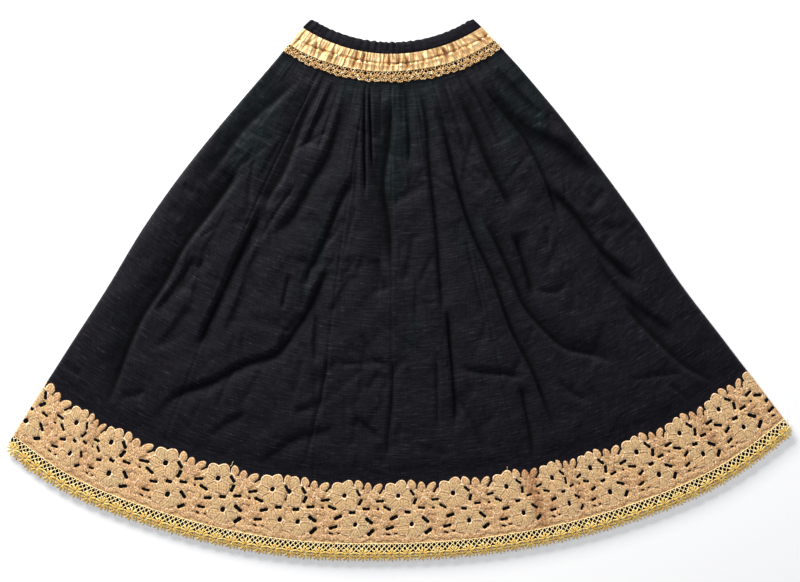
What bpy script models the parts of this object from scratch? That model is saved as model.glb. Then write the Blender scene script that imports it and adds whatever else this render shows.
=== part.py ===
"""Long gored skirt with a gold lace border, laid flat on its back.

The cloth is an annular sector round an apex above the waist, so every piece is laid out in two
garment coordinates: across (-1 at the left fold, 0 at the centre seam, +1 at the right fold) and
down (metres below the waist edge on the centre seam). place() turns them into X and Y.
X is to the right, Y towards the waist and Z up from the surface that the back rests on.
"""
import math

import bpy
import numpy as np
from mathutils import Vector
from mathutils.geometry import delaunay_2d_cdt

MM = 0.001

# Driving sizes of the laid-out skirt
WAIST_RADIUS = 270 * MM
LENGTH = 939 * MM
APEX_X = -14 * MM
APEX_Y = 719 * MM

# Half angle of the two side folds, in degrees: (down mm, left, right)
SIDE_FOLDS = [
    (0, 32.6, 32.9),
    (23, 33.7, 34.0),
    (60, 34.2, 35.0),
    (100, 34.8, 35.9),
    (194, 36.0, 36.9),
    (333, 36.8, 37.2),
    (467, 36.6, 37.0),
    (594, 35.8, 36.5),
    (722, 35.4, 36.6),
    (940, 34.8, 36.7),
]

# Length from the waist edge to the lace tips: (degrees from the centre seam, length mm)
HEM_LENGTHS = [(-35, 958), (-30, 966), (-20, 957), (-10, 948), (0, 939), (10, 941), (20, 949), (30, 957), (37, 949)]

# Bands, in distance down from the waist edge
CASING_BOTTOM = 23 * MM
RIBBON_BOTTOM = 55 * MM
WAIST_LACE_BOTTOM = 74 * MM
BORDER_TOP = 801 * MM
BORDER_BOTTOM = 906 * MM
CLOTH_HEM = 922 * MM
LACE_TIPS = LENGTH

# Thicknesses, and the space left where two pieces are sewn together
CLOTH = 1.4 * MM
LACE = 1.2 * MM
CASING = 2.9 * MM
SEAM = 0.3 * MM

# Seams between the gores, as across values, read from the front; the back is cut in equal gores
FRONT_SEAMS = [-1, -0.64, -0.22, 0, 0.35, 0.71, 1]
BACK_SEAMS = [-1, -0.67, -0.33, 0, 0.33, 0.67, 1]

# Height of the front cloth over the back: (down mm, height mm)
PUFF = [(0, 0), (76, 0), (110, 4), (200, 7), (400, 6.5), (600, 5.5), (720, 3.5), (776, 0), (960, 0)]
SIDE_ROUNDING = 30 * MM

# Gathers below the waist trim
GATHERS = 26
GATHER_DEPTH = 0.75
GATHER_LENGTH = 210 * MM

# Long folds of the front: (top degrees, top down mm, bottom degrees, bottom down mm, width mm, depth as a share)
FOLDS = [
    (-28, 120, -33.5, 330, 16, 0.8),
    (-28, 300, -30.5, 600, 18, 0.9),
    (-30.5, 580, -29, 790, 16, 0.8),
    (-22, 120, -23.2, 640, 14, 0.9),
    (-13, 100, -19, 390, 14, 0.7),
    (-8, 230, -13, 470, 12, 0.6),
    (-13.5, 500, -25, 780, 16, 0.7),
    (-0.5, 150, 0, 470, 18, 0.8),
    (8.2, 84, 7.2, 460, 10, 0.8),
    (7.2, 460, 6.6, 700, 12, 0.9),
    (11.6, 100, 17.2, 790, 13, 0.9),
    (19.2, 140, 20.5, 620, 14, 0.8),
    (25.6, 120, 26.2, 430, 13, 0.8),
    (27.5, 130, 36, 400, 22, 0.8),
    (28.4, 320, 33.6, 790, 16, 0.9),
    (15.6, 330, 17.4, 520, 12, 0.7),
]

# Grid of a front gore: (down mm, spacing of its points mm)
FRONT_ROWS = [
    (23.3, 12), (50, 14), (75.5, 12), (90, 7), (110, 4.5), (150, 5), (200, 7), (260, 10), (330, 14),
    (420, 18), (520, 22), (620, 25), (720, 30), (776, 40), (790, 60), (922, 60),
]
BACK_ROWS = [(23.3, 12), (75.5, 30), (90, 40), (300, 60), (550, 80), (776, 80), (790, 80), (922, 80)]

# Border repeat, from the centre of its upper flower: mm to the right, mm towards the hem
REPEATS = 14
REPEAT = 97 * MM
FIRST_FLOWER = 0.016
FLOWER_DOWN = 821 * MM

# Lobes of the border's upper edge: (right mm, half width mm, height mm over BORDER_TOP)
LOBES = [(0, 17, 2), (27, 9, 7), (47, 9, 3), (67, 9.5, 1)]
LOBE_ROOTS = 8 * MM

# Gaps of one repeat: (right mm, towards the hem mm, length mm, width mm, degrees rising to the right, corners)
GAPS = [
    (0, 0, 8.1, 6.3, 90, 6),
    (22.4, 51.8, 8.1, 5.6, 90, 6),
    (25.3, -5, 9.6, 4.8, -50, 4),
    (30, 10.9, 10.9, 5.4, 75, 4),
    (65, 9, 12.7, 4.8, 10, 4),
    (78, 21.7, 13.6, 4.8, -25, 4),
    (41, 22.5, 11, 4.4, 0, 4),
    (14, 32, 8, 5.6, 0, 4),
    (47, 44, 12.7, 5.6, -40, 4),
    (49.6, 66, 11.8, 6.3, 40, 4),
    (89.8, 38, 11.8, 5.4, 15, 4),
    (82, 57, 11.8, 4.8, 15, 4),
]
BACK_GAPS = 5

# Edge waves
CASING_RUFFLES = 22
CASING_RUFFLE_HEIGHT = 1.6 * MM
MEDALLIONS = 55
MEDALLION_SCALLOP = 4 * MM
HEM_DROOP = 3.2 * MM

# Finishes: name -> (red, green, blue), roughness, metallic
FINISHES = {
    "black_slub_cloth": ((0.012, 0.013, 0.016), 0.8, 0.0),
    "gold_satin": ((0.62, 0.42, 0.19), 0.35, 0.0),
    "gold_crochet": ((0.72, 0.5, 0.16), 0.7, 0.0),
    "beige_lace": ((0.6, 0.42, 0.26), 0.8, 0.0),
}


def smooth_curve(rows, column, where):
    """Reads one column of a table along its first column, as a curve with no corners."""
    table = np.array(rows, dtype=float)
    xs, ys = table[:, 0], table[:, column]
    slopes = np.gradient(ys, xs)
    where = np.clip(where, xs[0], xs[-1])
    row = np.clip(np.searchsorted(xs, where) - 1, 0, len(xs) - 2)
    span = xs[row + 1] - xs[row]
    t = (where - xs[row]) / span
    start = (1 + 2 * t) * (1 - t) ** 2 * ys[row] + t * (1 - t) ** 2 * span * slopes[row]
    end = t * t * (3 - 2 * t) * ys[row + 1] - t * t * (1 - t) * span * slopes[row + 1]
    return start + end


def ease(low, high, values):
    """Rises smoothly from 0 at low to 1 at high."""
    t = np.clip((values - low) / (high - low), 0, 1)
    return t * t * (3 - 2 * t)


def side_angle(across, down):
    """Half angle of the fold on this point's side, in degrees."""
    left = smooth_curve(SIDE_FOLDS, 1, down / MM)
    right = smooth_curve(SIDE_FOLDS, 2, down / MM)
    return np.where(across < 0, left, right)


def polar(across, down):
    """Angle in degrees and radius in metres of a garment point."""
    angle = across * side_angle(across, down)
    stretch = smooth_curve(HEM_LENGTHS, 1, angle) * MM / LENGTH
    return angle, WAIST_RADIUS + down * stretch


def place(across, down):
    """X and Y of garment points."""
    angle, radius = polar(across, down)
    turn = np.radians(angle)
    return APEX_X + radius * np.sin(turn), APEX_Y - radius * np.cos(turn)


def back_underside(across, down):
    """The back cloth rests on the surface, and rises over the trims sewn to its outside."""
    over_waist_trim = 1 - ease(75.5 * MM, 90 * MM, down)
    over_border = ease(776 * MM, 790 * MM, down)
    return (LACE + SEAM) * (over_waist_trim + over_border) + 0 * across


def relief(across, down):
    """How far the front cloth puffs up over the back, with its gathers and folds pressed in."""
    angle, radius = polar(across, down)
    height = smooth_curve(PUFF, 1, down / MM) * MM
    to_side = np.radians((1 - np.abs(across)) * side_angle(across, down)) * radius
    inward = np.clip(to_side / SIDE_ROUNDING, 0, 1)
    height = np.maximum(height, 0) * np.sqrt(1 - (1 - inward) ** 2)
    wander = 0.3 * np.sin(9.1 * across) + 0.2 * np.sin(23.7 * across + 1)
    wave = 0.5 + 0.5 * np.cos(2 * math.pi * (GATHERS * (across + 1) / 2 + wander))
    height = height * (1 - GATHER_DEPTH * wave * (1 - ease(0.4 * GATHER_LENGTH, GATHER_LENGTH, down)))
    for top_angle, top_down, bottom_angle, bottom_down, width, depth in FOLDS:
        along = (down / MM - top_down) / (bottom_down - top_down)
        line = top_angle + np.clip(along, 0, 1) * (bottom_angle - top_angle)
        aside = np.radians(angle - line) * radius / (width * MM)
        fade = ease(-0.05, 0.15, along) * (1 - ease(0.85, 1.05, along))
        height = height * (1 - depth * fade * np.exp(-aside * aside))
    return height


def front_underside(across, down):
    """The front lies on the back, one seam space over it, plus its own relief."""
    return back_underside(across, down) + CLOTH + SEAM + relief(across, down)


def front_trim_underside(across, down):
    """Trims lie on the front cloth, one seam space over it."""
    return front_underside(across, down) + CLOTH + SEAM


def hem_lace_underside(across, down):
    """The front hem lace lies on the cloth hem, then sinks towards the back's lace."""
    level = front_trim_underside(across, np.full_like(down, BORDER_BOTTOM))
    return level - HEM_DROOP * ease(CLOTH_HEM + SEAM, LACE_TIPS, down)


def on_surface(across, down):
    """Underside of what rests on the surface."""
    return 0 * across * down


def raised(underside, thickness):
    """The height of a piece's outer face: its underside plus its thickness."""
    def outer(across, down):
        return underside(across, down) + thickness
    return outer


def casing_front_underside(across, down):
    """The front half of the casing lies on the back half."""
    return np.full_like(across, CASING + SEAM)


def casing_front_top(across, down):
    """Small ruffles where the elastic gathers the casing, strongest at its upper edge."""
    ruffle = 0.5 + 0.5 * np.cos(2 * math.pi * CASING_RUFFLES * (across + 1) / 2 + 1.3 * np.sin(7 * across))
    strength = 1 - 0.6 * ease(0, CASING_BOTTOM, down)
    return casing_front_underside(across, down) + CASING - 0.6 * MM + CASING_RUFFLE_HEIGHT * ruffle * strength


def row_of_points(first, last, down, spacing):
    """Points of one row of a panel, inset by half a seam space from its two side seams."""
    middle = np.array([(first + last) / 2])
    _, radius = polar(middle, np.array([down]))
    turn = math.radians(float(side_angle(middle, np.array([down]))[0]))
    inset = SEAM / 2 / (radius[0] * turn)
    count = max(2, round((last - first) * turn * radius[0] / spacing)) + 1
    across = np.linspace(first + inset, last - inset, count)
    return np.stack([across, np.full(count, down)], axis=1)


def zip_rows(upper, lower):
    """Triangles between two rows of point numbers, always closing the shorter diagonal by share."""
    triangles = []
    i = j = 0
    while i < len(upper) - 1 or j < len(lower) - 1:
        next_upper = (i + 1) / (len(upper) - 1)
        next_lower = (j + 1) / (len(lower) - 1)
        if j == len(lower) - 1 or (i < len(upper) - 1 and next_upper <= next_lower):
            triangles.append((upper[i], lower[j], upper[i + 1]))
            i += 1
        else:
            triangles.append((upper[i], lower[j], lower[j + 1]))
            j += 1
    return triangles


def plan_of_rows(rows):
    """Joins rows of points, top row first, into one triangulated plan with its rim."""
    numbers = []
    start = 0
    for row in rows:
        numbers.append(list(range(start, start + len(row))))
        start += len(row)
    triangles = []
    for upper, lower in zip(numbers, numbers[1:]):
        triangles += zip_rows(upper, lower)
    right_side = [row[-1] for row in reversed(numbers[:-1])]
    left_side = [row[0] for row in numbers[1:-1]]
    rim = numbers[-1] + right_side + numbers[0][-2::-1] + left_side
    return np.concatenate(rows), triangles, [rim]


def material(finish):
    """The Principled material of one finish, made once."""
    made = bpy.data.materials.get(finish)
    if made is None:
        colour, roughness, metallic = FINISHES[finish]
        made = bpy.data.materials.new(finish)
        made.use_nodes = True
        shader = made.node_tree.nodes["Principled BSDF"]
        shader.inputs["Base Color"].default_value = (*colour, 1)
        shader.inputs["Roughness"].default_value = roughness
        shader.inputs["Metallic"].default_value = metallic
    return made


def wall(name, plan, underside, top, finish):
    """One closed wall: the plan at two heights, joined along its outer rim and the rims of its gaps."""
    points, triangles, rims = plan
    across, down = points[:, 0], points[:, 1]
    x, y = place(across, down)
    low = np.stack([x, y, underside(across, down)], axis=1)
    high = np.stack([x, y, top(across, down)], axis=1)
    count = len(points)
    faces = [(a + count, b + count, c + count) for a, b, c in triangles]
    faces += [(c, b, a) for a, b, c in triangles]
    for rim in rims:
        for a, b in zip(rim, rim[1:] + rim[:1]):
            faces.append((a, b, b + count, a + count))
    mesh = bpy.data.meshes.new(name)
    mesh.from_pydata(np.concatenate([low, high]).tolist(), [], faces)
    mesh.shade_smooth()
    mesh.set_sharp_from_angle(angle=math.radians(40))
    mesh.materials.append(material(finish))
    piece = bpy.data.objects.new(name, mesh)
    bpy.context.collection.objects.link(piece)
    return piece


def make_gores():
    """Front and back gores, each a wedge between two seams."""
    layers = [
        ("front_gore", FRONT_SEAMS, FRONT_ROWS, front_underside),
        ("back_gore", BACK_SEAMS, BACK_ROWS, back_underside),
    ]
    for label, seams, table, underside in layers:
        for number, (first, last) in enumerate(zip(seams, seams[1:]), start=1):
            rows = [row_of_points(first, last, down * MM, spacing * MM) for down, spacing in table]
            wall(f"{label}_{number}", plan_of_rows(rows), underside, raised(underside, CLOTH), "black_slub_cloth")


def band_plan(downs, spacing):
    """Plan of a straight band from fold to fold."""
    return plan_of_rows([row_of_points(-1, 1, down, spacing) for down in downs])


def make_casing():
    """The gathered waist casing, front and back."""
    ruffle_spacing = 3.6 * MM
    front = band_plan([0, CASING_BOTTOM / 2, CASING_BOTTOM], ruffle_spacing)
    back = band_plan([0, CASING_BOTTOM], 12 * MM)
    wall("casing_front", front, casing_front_underside, casing_front_top, "black_slub_cloth")
    wall("casing_back", back, on_surface, raised(on_surface, CASING), "black_slub_cloth")


def make_waist_trims():
    """The satin ribbon and the narrow crochet below it, front and back."""
    bands = [
        ("satin_ribbon", CASING_BOTTOM + SEAM, RIBBON_BOTTOM, "gold_satin"),
        ("waist_crochet", RIBBON_BOTTOM + SEAM, WAIST_LACE_BOTTOM, "gold_crochet"),
    ]
    for label, top, bottom, finish in bands:
        plan = band_plan([top, bottom], 12 * MM)
        wall(f"{label}_front", plan, front_trim_underside, raised(front_trim_underside, LACE), finish)
        wall(f"{label}_back", plan, on_surface, raised(on_surface, LACE), finish)


def scalloped_row(scallops, per_scallop, depth, down):
    """A row whose points swing in and out round the given distance down."""
    ends = row_of_points(-1, 1, down, 1)[[0, -1], 0]
    across = np.linspace(ends[0], ends[1], scallops * per_scallop + 1)
    swing = np.abs(np.sin(math.pi * scallops * (across + 1) / 2))
    return np.stack([across, down - depth * (1 - swing)], axis=1)


def make_hem_crochet():
    """The crochet along the hem: scalloped by its medallions in front, plain where the back rests."""
    spacing = 24 * MM
    top = row_of_points(-1, 1, BORDER_BOTTOM + SEAM, spacing)
    hem = row_of_points(-1, 1, CLOTH_HEM, spacing)
    tips = scalloped_row(MEDALLIONS, 4, MEDALLION_SCALLOP, LACE_TIPS)
    plain_tips = row_of_points(-1, 1, LACE_TIPS, spacing)
    front = plan_of_rows([top, hem, tips])
    back = plan_of_rows([top, plain_tips])
    wall("hem_crochet_front", front, hem_lace_underside, raised(hem_lace_underside, LACE), "gold_crochet")
    wall("hem_crochet_back", back, on_surface, raised(on_surface, LACE), "gold_crochet")


def along_border(across, right):
    """The across value a distance to the right of another, at the border."""
    return across + right / REPEAT * 2 / REPEATS


def border_edge(first, last):
    """The border's upper edge between two across values: five points round each petal and leaf."""
    points = [(first, BORDER_TOP + LOBE_ROOTS), (last, BORDER_TOP + LOBE_ROOTS)]
    for repeat in range(-REPEATS // 2 - 1, REPEATS // 2 + 1):
        flower = along_border(FIRST_FLOWER, repeat * REPEAT)
        for right, half_width, height in LOBES:
            for share in (-1, -0.8, 0, 0.8, 1):
                across = along_border(flower, (right + share * half_width) * MM)
                rise = (LOBE_ROOTS + height * MM) * math.sqrt(1 - share * share)
                if first < across < last:
                    points.append((across, BORDER_TOP + LOBE_ROOTS - rise))
    return np.array(sorted(points))


def gap_outline(across, down, length, width, tilt, corners):
    """Corners of one gap, clockwise seen from above."""
    turns = -np.arange(corners) * 2 * math.pi / corners
    lengthwise = length / 2 * np.cos(turns)
    crosswise = width / 2 * np.sin(turns)
    rise = math.radians(tilt)
    right = lengthwise * math.cos(rise) - crosswise * math.sin(rise)
    up = lengthwise * math.sin(rise) + crosswise * math.cos(rise)
    return np.stack([along_border(across, right), down - up], axis=1)


def border_gaps(table):
    """Every gap of the border that lies whole inside it."""
    gaps = []
    for repeat in range(-REPEATS // 2 - 1, REPEATS // 2 + 1):
        flower = along_border(FIRST_FLOWER, repeat * REPEAT)
        for right, down, length, width, tilt, corners in table:
            centre = along_border(flower, right * MM)
            if abs(centre) < 1 - along_border(0, 12 * MM):
                centre_down = FLOWER_DOWN + down * MM
                gaps.append(gap_outline(centre, centre_down, length * MM, width * MM, tilt, corners))
    return gaps


def border_plan(table):
    """The lace border: petals and leaves along its top, a straight lower edge and gaps cut through."""
    lower = row_of_points(-1, 1, BORDER_BOTTOM, 24 * MM)
    upper = border_edge(lower[0, 0], lower[-1, 0])[::-1]
    loops = [np.concatenate([lower, upper])] + border_gaps(table)
    points = np.concatenate(loops)
    rims = []
    start = 0
    for loop in loops:
        rims.append(list(range(start, start + len(loop))))
        start += len(loop)
    edges = [pair for rim in rims for pair in zip(rim, rim[1:] + rim[:1])]
    x, y = place(points[:, 0], points[:, 1])
    flat = [Vector(pair) for pair in zip(x.tolist(), y.tolist())]
    inside = 1
    _, _, triangles, numbers, _, _ = delaunay_2d_cdt(flat, edges, [], inside, 1e-7)
    owner = {number: index for index, rim in enumerate(rims[1:], start=1) for number in rim}
    kept = []
    for triangle in triangles:
        corners = tuple(numbers[corner][0] for corner in triangle)
        loops_met = {owner.get(corner, 0) for corner in corners}
        if len(loops_met) > 1 or 0 in loops_met:
            kept.append(corners)
    return points, kept, rims


def make_border():
    """The floral lace border, front and back; the back keeps the largest gaps of each repeat."""
    front = border_plan(GAPS)
    largest = sorted(GAPS, key=lambda gap: gap[2] * gap[3], reverse=True)[:BACK_GAPS]
    back = border_plan(largest)
    wall("border_front", front, front_trim_underside, raised(front_trim_underside, LACE), "beige_lace")
    wall("border_back", back, on_surface, raised(on_surface, LACE), "beige_lace")


def main():
    for old in list(bpy.data.objects):
        bpy.data.objects.remove(old)
    make_gores()
    make_casing()
    make_waist_trims()
    make_border()
    make_hem_crochet()


main()
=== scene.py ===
# %% [markdown]
# # A long black skirt with a gold lace hem, laid flat
# The frame gives the skirt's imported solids: gores, casing, ribbon, border and crochet, front and back.
# They have the right places and sizes, and plain faceted surfaces. This lesson dresses them: one gathered
# tube of slubbed cloth, a satin ribbon, a cutwork lace border and two crochet trims, each made as a
# surface over the same two garment coordinates, so that every layer follows the one below it.

# %% Load the fixed frame
import math

import bpy
import numpy as np
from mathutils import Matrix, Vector


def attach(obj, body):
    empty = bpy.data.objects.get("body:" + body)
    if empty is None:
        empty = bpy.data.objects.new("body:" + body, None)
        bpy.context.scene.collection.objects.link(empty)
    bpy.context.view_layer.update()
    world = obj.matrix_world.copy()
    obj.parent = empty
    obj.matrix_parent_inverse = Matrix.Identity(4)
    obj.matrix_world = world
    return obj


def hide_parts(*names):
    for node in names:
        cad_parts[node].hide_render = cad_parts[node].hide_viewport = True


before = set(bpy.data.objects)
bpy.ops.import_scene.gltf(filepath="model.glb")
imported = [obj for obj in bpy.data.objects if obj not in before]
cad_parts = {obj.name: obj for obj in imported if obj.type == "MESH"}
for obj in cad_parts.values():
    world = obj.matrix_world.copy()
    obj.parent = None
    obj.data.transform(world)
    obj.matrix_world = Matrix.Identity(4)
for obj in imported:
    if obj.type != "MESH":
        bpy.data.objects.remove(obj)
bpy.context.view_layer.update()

MM = 0.001
rng = np.random.default_rng(7)
print("nodes in the frame:", len(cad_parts))

# %% [markdown]
# ## Garment coordinates
# A skirt of wedge-shaped gores lies flat as a piece of a ring. So a point is named by how far across it
# lies, from -1 at the left fold to +1 at the right one, and how far down from the waist edge, in metres
# measured along the centre seam. The folds at the sides aren't quite straight and the hem hangs a little
# longer at the sides, and both are short tables read as smooth curves.

# %% Outline of the skirt
WAIST_RADIUS = 270 * MM
LENGTH = 939 * MM
# The point that the sides of the skirt run to, in X and Y
APEX = (-14 * MM, 719 * MM)
# Side folds: mm down from the waist edge, half angle in degrees at the left and at the right
SIDE_FOLDS = [
    (0, 32.6, 32.9), (23, 33.7, 34.0), (60, 34.2, 35.0), (100, 34.8, 35.9), (194, 36.0, 36.9),
    (333, 36.8, 37.2), (467, 36.6, 37.0), (594, 35.8, 36.5), (722, 35.4, 36.6), (940, 34.8, 36.7),
]
# Length from the waist edge to the lace tips: angle in degrees, mm
HEM_LENGTHS = [
    (-35, 958), (-30, 966), (-20, 957), (-10, 948), (0, 939), (10, 941), (20, 949), (30, 957), (37, 949),
]

CASING_BOTTOM = 23 * MM
RIBBON_BOTTOM = 55 * MM
WAIST_LACE_BOTTOM = 74 * MM
BORDER_TOP = 801 * MM
BORDER_BOTTOM = 906 * MM
CLOTH_HEM = 922 * MM


def smooth_curve(rows, column, where):
    """Cubic curve through one column of a table: y(t) blends two rows and their slopes."""
    table = np.array(rows, dtype=float)
    xs, ys = table[:, 0], table[:, column]
    slopes = np.gradient(ys, xs)
    where = np.clip(where, xs[0], xs[-1])
    row = np.clip(np.searchsorted(xs, where) - 1, 0, len(xs) - 2)
    span = xs[row + 1] - xs[row]
    t = (where - xs[row]) / span
    start = (1 + 2 * t) * (1 - t) ** 2 * ys[row] + t * (1 - t) ** 2 * span * slopes[row]
    end = t * t * (3 - 2 * t) * ys[row + 1] - t * t * (1 - t) * span * slopes[row + 1]
    return start + end


def ease(low, high, values):
    """Rises smoothly from 0 at low to 1 at high: 3t^2 - 2t^3."""
    t = np.clip((values - low) / (high - low), 0, 1)
    return t * t * (3 - 2 * t)


def side_angle(across, down):
    """Half angle of the fold on this point's side, in degrees."""
    left = smooth_curve(SIDE_FOLDS, 1, down / MM)
    right = smooth_curve(SIDE_FOLDS, 2, down / MM)
    return np.where(across < 0, left, right)


def polar(across, down):
    """Angle in degrees, and radius = waist radius + down stretched to the hem's length there."""
    angle = across * side_angle(across, down)
    stretch = smooth_curve(HEM_LENGTHS, 1, angle) * MM / LENGTH
    return angle, WAIST_RADIUS + down * stretch


def from_apex(angle, radius):
    """X and Y at an angle in degrees and a radius: x = r sin(angle), y = -r cos(angle), from the apex."""
    turn = np.radians(angle)
    return APEX[0] + radius * np.sin(turn), APEX[1] - radius * np.cos(turn)


def place(across, down):
    """X and Y of garment points: their angle and radius, measured from the apex."""
    return from_apex(*polar(across, down))


def arc(share, across, down):
    """Length along the arc, in metres, of a share of the half width at a garment point."""
    return np.radians(share * side_angle(across, down)) * polar(across, down)[1]


def to_side(across, down):
    """Distance to the nearer side fold along the arc, in metres."""
    return arc(1 - np.abs(across), across, down)


print("waist and hem half widths in m:", [round(float(arc(1, 1, at)), 3) for at in (0, CLOTH_HEM)])

# %% [markdown]
# ## The camera and the light
# The picture looks straight down at the skirt, so the camera hangs over its middle with a long lens. The
# light is soft and comes from beyond the waist: the only shadow on the floor lies just past the hem, and
# the folds of the black cloth show where they turn towards that light, and where shade is painted into them.

# %% Camera
PHOTO_WIDTH_PX = 800
MM_PER_PX = 1.81
LENS = 85
SENSOR = 36



def new_object(name, data):
    """An object that puts this data in the scene."""
    made = bpy.data.objects.new(name, data)
    bpy.context.collection.objects.link(made)
    return made


camera_data = bpy.data.cameras.new("camera")
camera_data.lens = LENS
camera_data.sensor_width = SENSOR
camera = new_object("camera", camera_data)
camera.location = (1 * MM, -1 * MM, PHOTO_WIDTH_PX * MM_PER_PX * MM * LENS / SENSOR)
bpy.context.scene.camera = camera
print("camera height:", round(camera.location.z, 2), "m")

# %% Node helpers


def hex_colour(code):
    """An sRGB hex value as linear red, green, blue and a full alpha."""
    channels = [int(code[i:i + 2], 16) / 255 for i in (1, 3, 5)]
    linear = [c / 12.92 if c <= 0.04045 else ((c + 0.055) / 1.055) ** 2.4 for c in channels]
    return (*linear, 1.0)


def plug(tree, node, inputs):
    """Sets each input of a node to its value, or links it where the value is another node's socket."""
    for name, value in inputs.items():
        if isinstance(value, bpy.types.NodeSocket):
            tree.links.new(value, node.inputs[name])
        else:
            node.inputs[name].default_value = value


def add(tree, kind, inputs=None, output=0, stops=(), **settings):
    """Adds a node with its settings, inputs and a ramp's (position, hex) stops, and returns one of its outputs."""
    made = tree.nodes.new("ShaderNode" + kind)
    for name, value in settings.items():
        setattr(made, name, value)
    plug(tree, made, inputs or {})
    for _ in stops[2:]:
        made.color_ramp.elements.new(0.5)
    for number, (position, code) in enumerate(stops):
        made.color_ramp.elements[number].position = position
        made.color_ramp.elements[number].color = hex_colour(code)
    return made.outputs[output]


def new_material(name):
    """An empty node material with its Principled shader and tree."""
    made = bpy.data.materials.new(name)
    made.use_nodes = True
    return made, made.node_tree, made.node_tree.nodes["Principled BSDF"]


# %% Lights and floor
FLOOR_HALF = 6.0
FLOOR_HEIGHT = -0.3 * MM


def area_light(name, place_at, aim, width, height, power, tint):
    """A soft oblong light aimed at a point."""
    data = bpy.data.lights.new(name, "AREA")
    data.shape = "RECTANGLE"
    data.size = width
    data.size_y = height
    data.energy = power
    data.color = tint
    lamp = new_object(name, data)
    lamp.location = place_at
    lamp.rotation_euler = (Vector(aim) - Vector(place_at)).to_track_quat("-Z", "Y").to_euler()


area_light("raking_left", (-2.0, 3.9, 1.0), (0, -0.25, 0), 2.8, 0.8, 545, (1.0, 0.985, 0.96))
area_light("raking_right", (4.2, 1.7, 1.05), (0.1, -0.1, 0), 1.4, 0.8, 60, (0.98, 0.985, 1.0))
area_light("softbox", (-1.0, 1.1, 3.3), (0, -0.1, 0), 1.2, 1.2, 49, (1.0, 1.0, 1.0))

world = bpy.data.worlds.new("studio")
bpy.context.scene.world = world
world.use_nodes = True
plug(world.node_tree, world.node_tree.nodes["Background"], {"Color": (0.93, 0.96, 1.0, 1), "Strength": 0.28})
bpy.context.scene.view_settings.view_transform = "Standard"

paper, paper_tree, paper_shader = new_material("matt_studio_paper")
plug(paper_tree, paper_shader, {"Base Color": hex_colour("#fcfcfd"), "Roughness": 0.9, "Specular IOR Level": 0.1})
floor_mesh = bpy.data.meshes.new("floor")
corners = [(FLOOR_HALF * x, FLOOR_HALF * y, FLOOR_HEIGHT) for x, y in ((-1, -1), (1, -1), (1, 1), (-1, 1))]
floor_mesh.from_pydata(corners, [], [(0, 1, 2, 3)])
floor_mesh.materials.append(paper)
floor = new_object("floor", floor_mesh)
print("lights:", len(bpy.data.lights))

# %% [markdown]
# ## Surfaces from arrays
# Every piece below is a grid of points worked out at once with numpy. One helper puts such a grid into a
# mesh, with its UV map in metres of cloth, so that a weave is drawn at its real size wherever the piece
# lies, and with any attributes that its material reads.

# %% Mesh helpers


def middles(count):
    """The middles of equal parts of the way from -1 to 1."""
    return np.linspace(-1, 1, count, endpoint=False) + 1 / count


def turns(count):
    """Equal steps round a full circle, in radians."""
    return np.linspace(0, 2 * math.pi, count, endpoint=False)


def mesh_piece(name, points, quads, uv, material, attributes=None):
    """A smooth mesh from point, quad and per-point UV arrays, and an attribute from each labelled array."""
    mesh = bpy.data.meshes.new(name)
    mesh.vertices.add(points.size // 3)
    mesh.vertices.foreach_set("co", points.astype(np.float32).ravel())
    mesh.loops.add(quads.size)
    mesh.loops.foreach_set("vertex_index", quads.astype(np.int32).ravel())
    mesh.polygons.add(len(quads))
    mesh.polygons.foreach_set("loop_start", np.arange(0, quads.size, 4, dtype=np.int32))
    mesh.update(calc_edges=True)
    layer = mesh.uv_layers.new(name="cloth")
    layer.data.foreach_set("uv", uv.reshape(-1, 2).astype(np.float32)[quads.ravel()].ravel())
    for label, values in (attributes or {}).items():
        mesh.attributes.new(label, "FLOAT", "POINT").data.foreach_set("value", values.astype(np.float32).ravel())
    mesh.shade_smooth()
    mesh.materials.append(material)
    mesh.validate()
    return new_object(name, mesh)


def grid_quads(rows, columns, closed=False, rolled=False):
    """Quads of a grid, facing up when across is to the right; closed joins its sides, rolled its top and bottom."""
    number = np.arange(rows * columns).reshape(rows, columns)
    if closed:
        number = np.concatenate([number, number[:, :1]], axis=1)
    if rolled:
        number = np.concatenate([number, number[:1]])
    corners = [number[:-1, :-1], number[1:, :-1], number[1:, 1:], number[:-1, 1:]]
    return np.stack(corners, axis=-1).reshape(-1, 4)


def cloth_uv(across, down):
    """UV in metres of cloth: along the arc, and down the radius."""
    angle, radius = polar(across, down)
    return np.stack([np.radians(angle) * radius, radius], axis=-1)


# %% [markdown]
# ## How high the cloth lies
# The back rests on the floor and the front rests on the back, but gathered cloth never lies dead flat: it
# puffs up below the waistband, and long folds run down from the gathers where the skirt was smoothed out
# by hand. The broad form is a puff height. Each crease presses it down along a line: steeply on one side,
# and in a long slope on the side that it leans to, as a fold of real cloth does.

# %% Creases
# Thickness of the cloth and of a trim, and the gap between layers
LAYER = 1.4 * MM
TRIM = 1.2 * MM
SEAM = 0.3 * MM
FRONT_TOP = 2 * LAYER + SEAM
CONTACT = LAYER + SEAM / 2
# Height of the puff: mm down from the waist edge, mm high
PUFF = [
    (0, 0), (74, 0), (100, 4.5), (200, 8.6), (400, 8.2), (600, 7.6), (720, 6.2), (768, 4), (790, 0.3), (960, 0),
]
GATHERS = 18
SIDE_ROUNDING = 26 * MM

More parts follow.
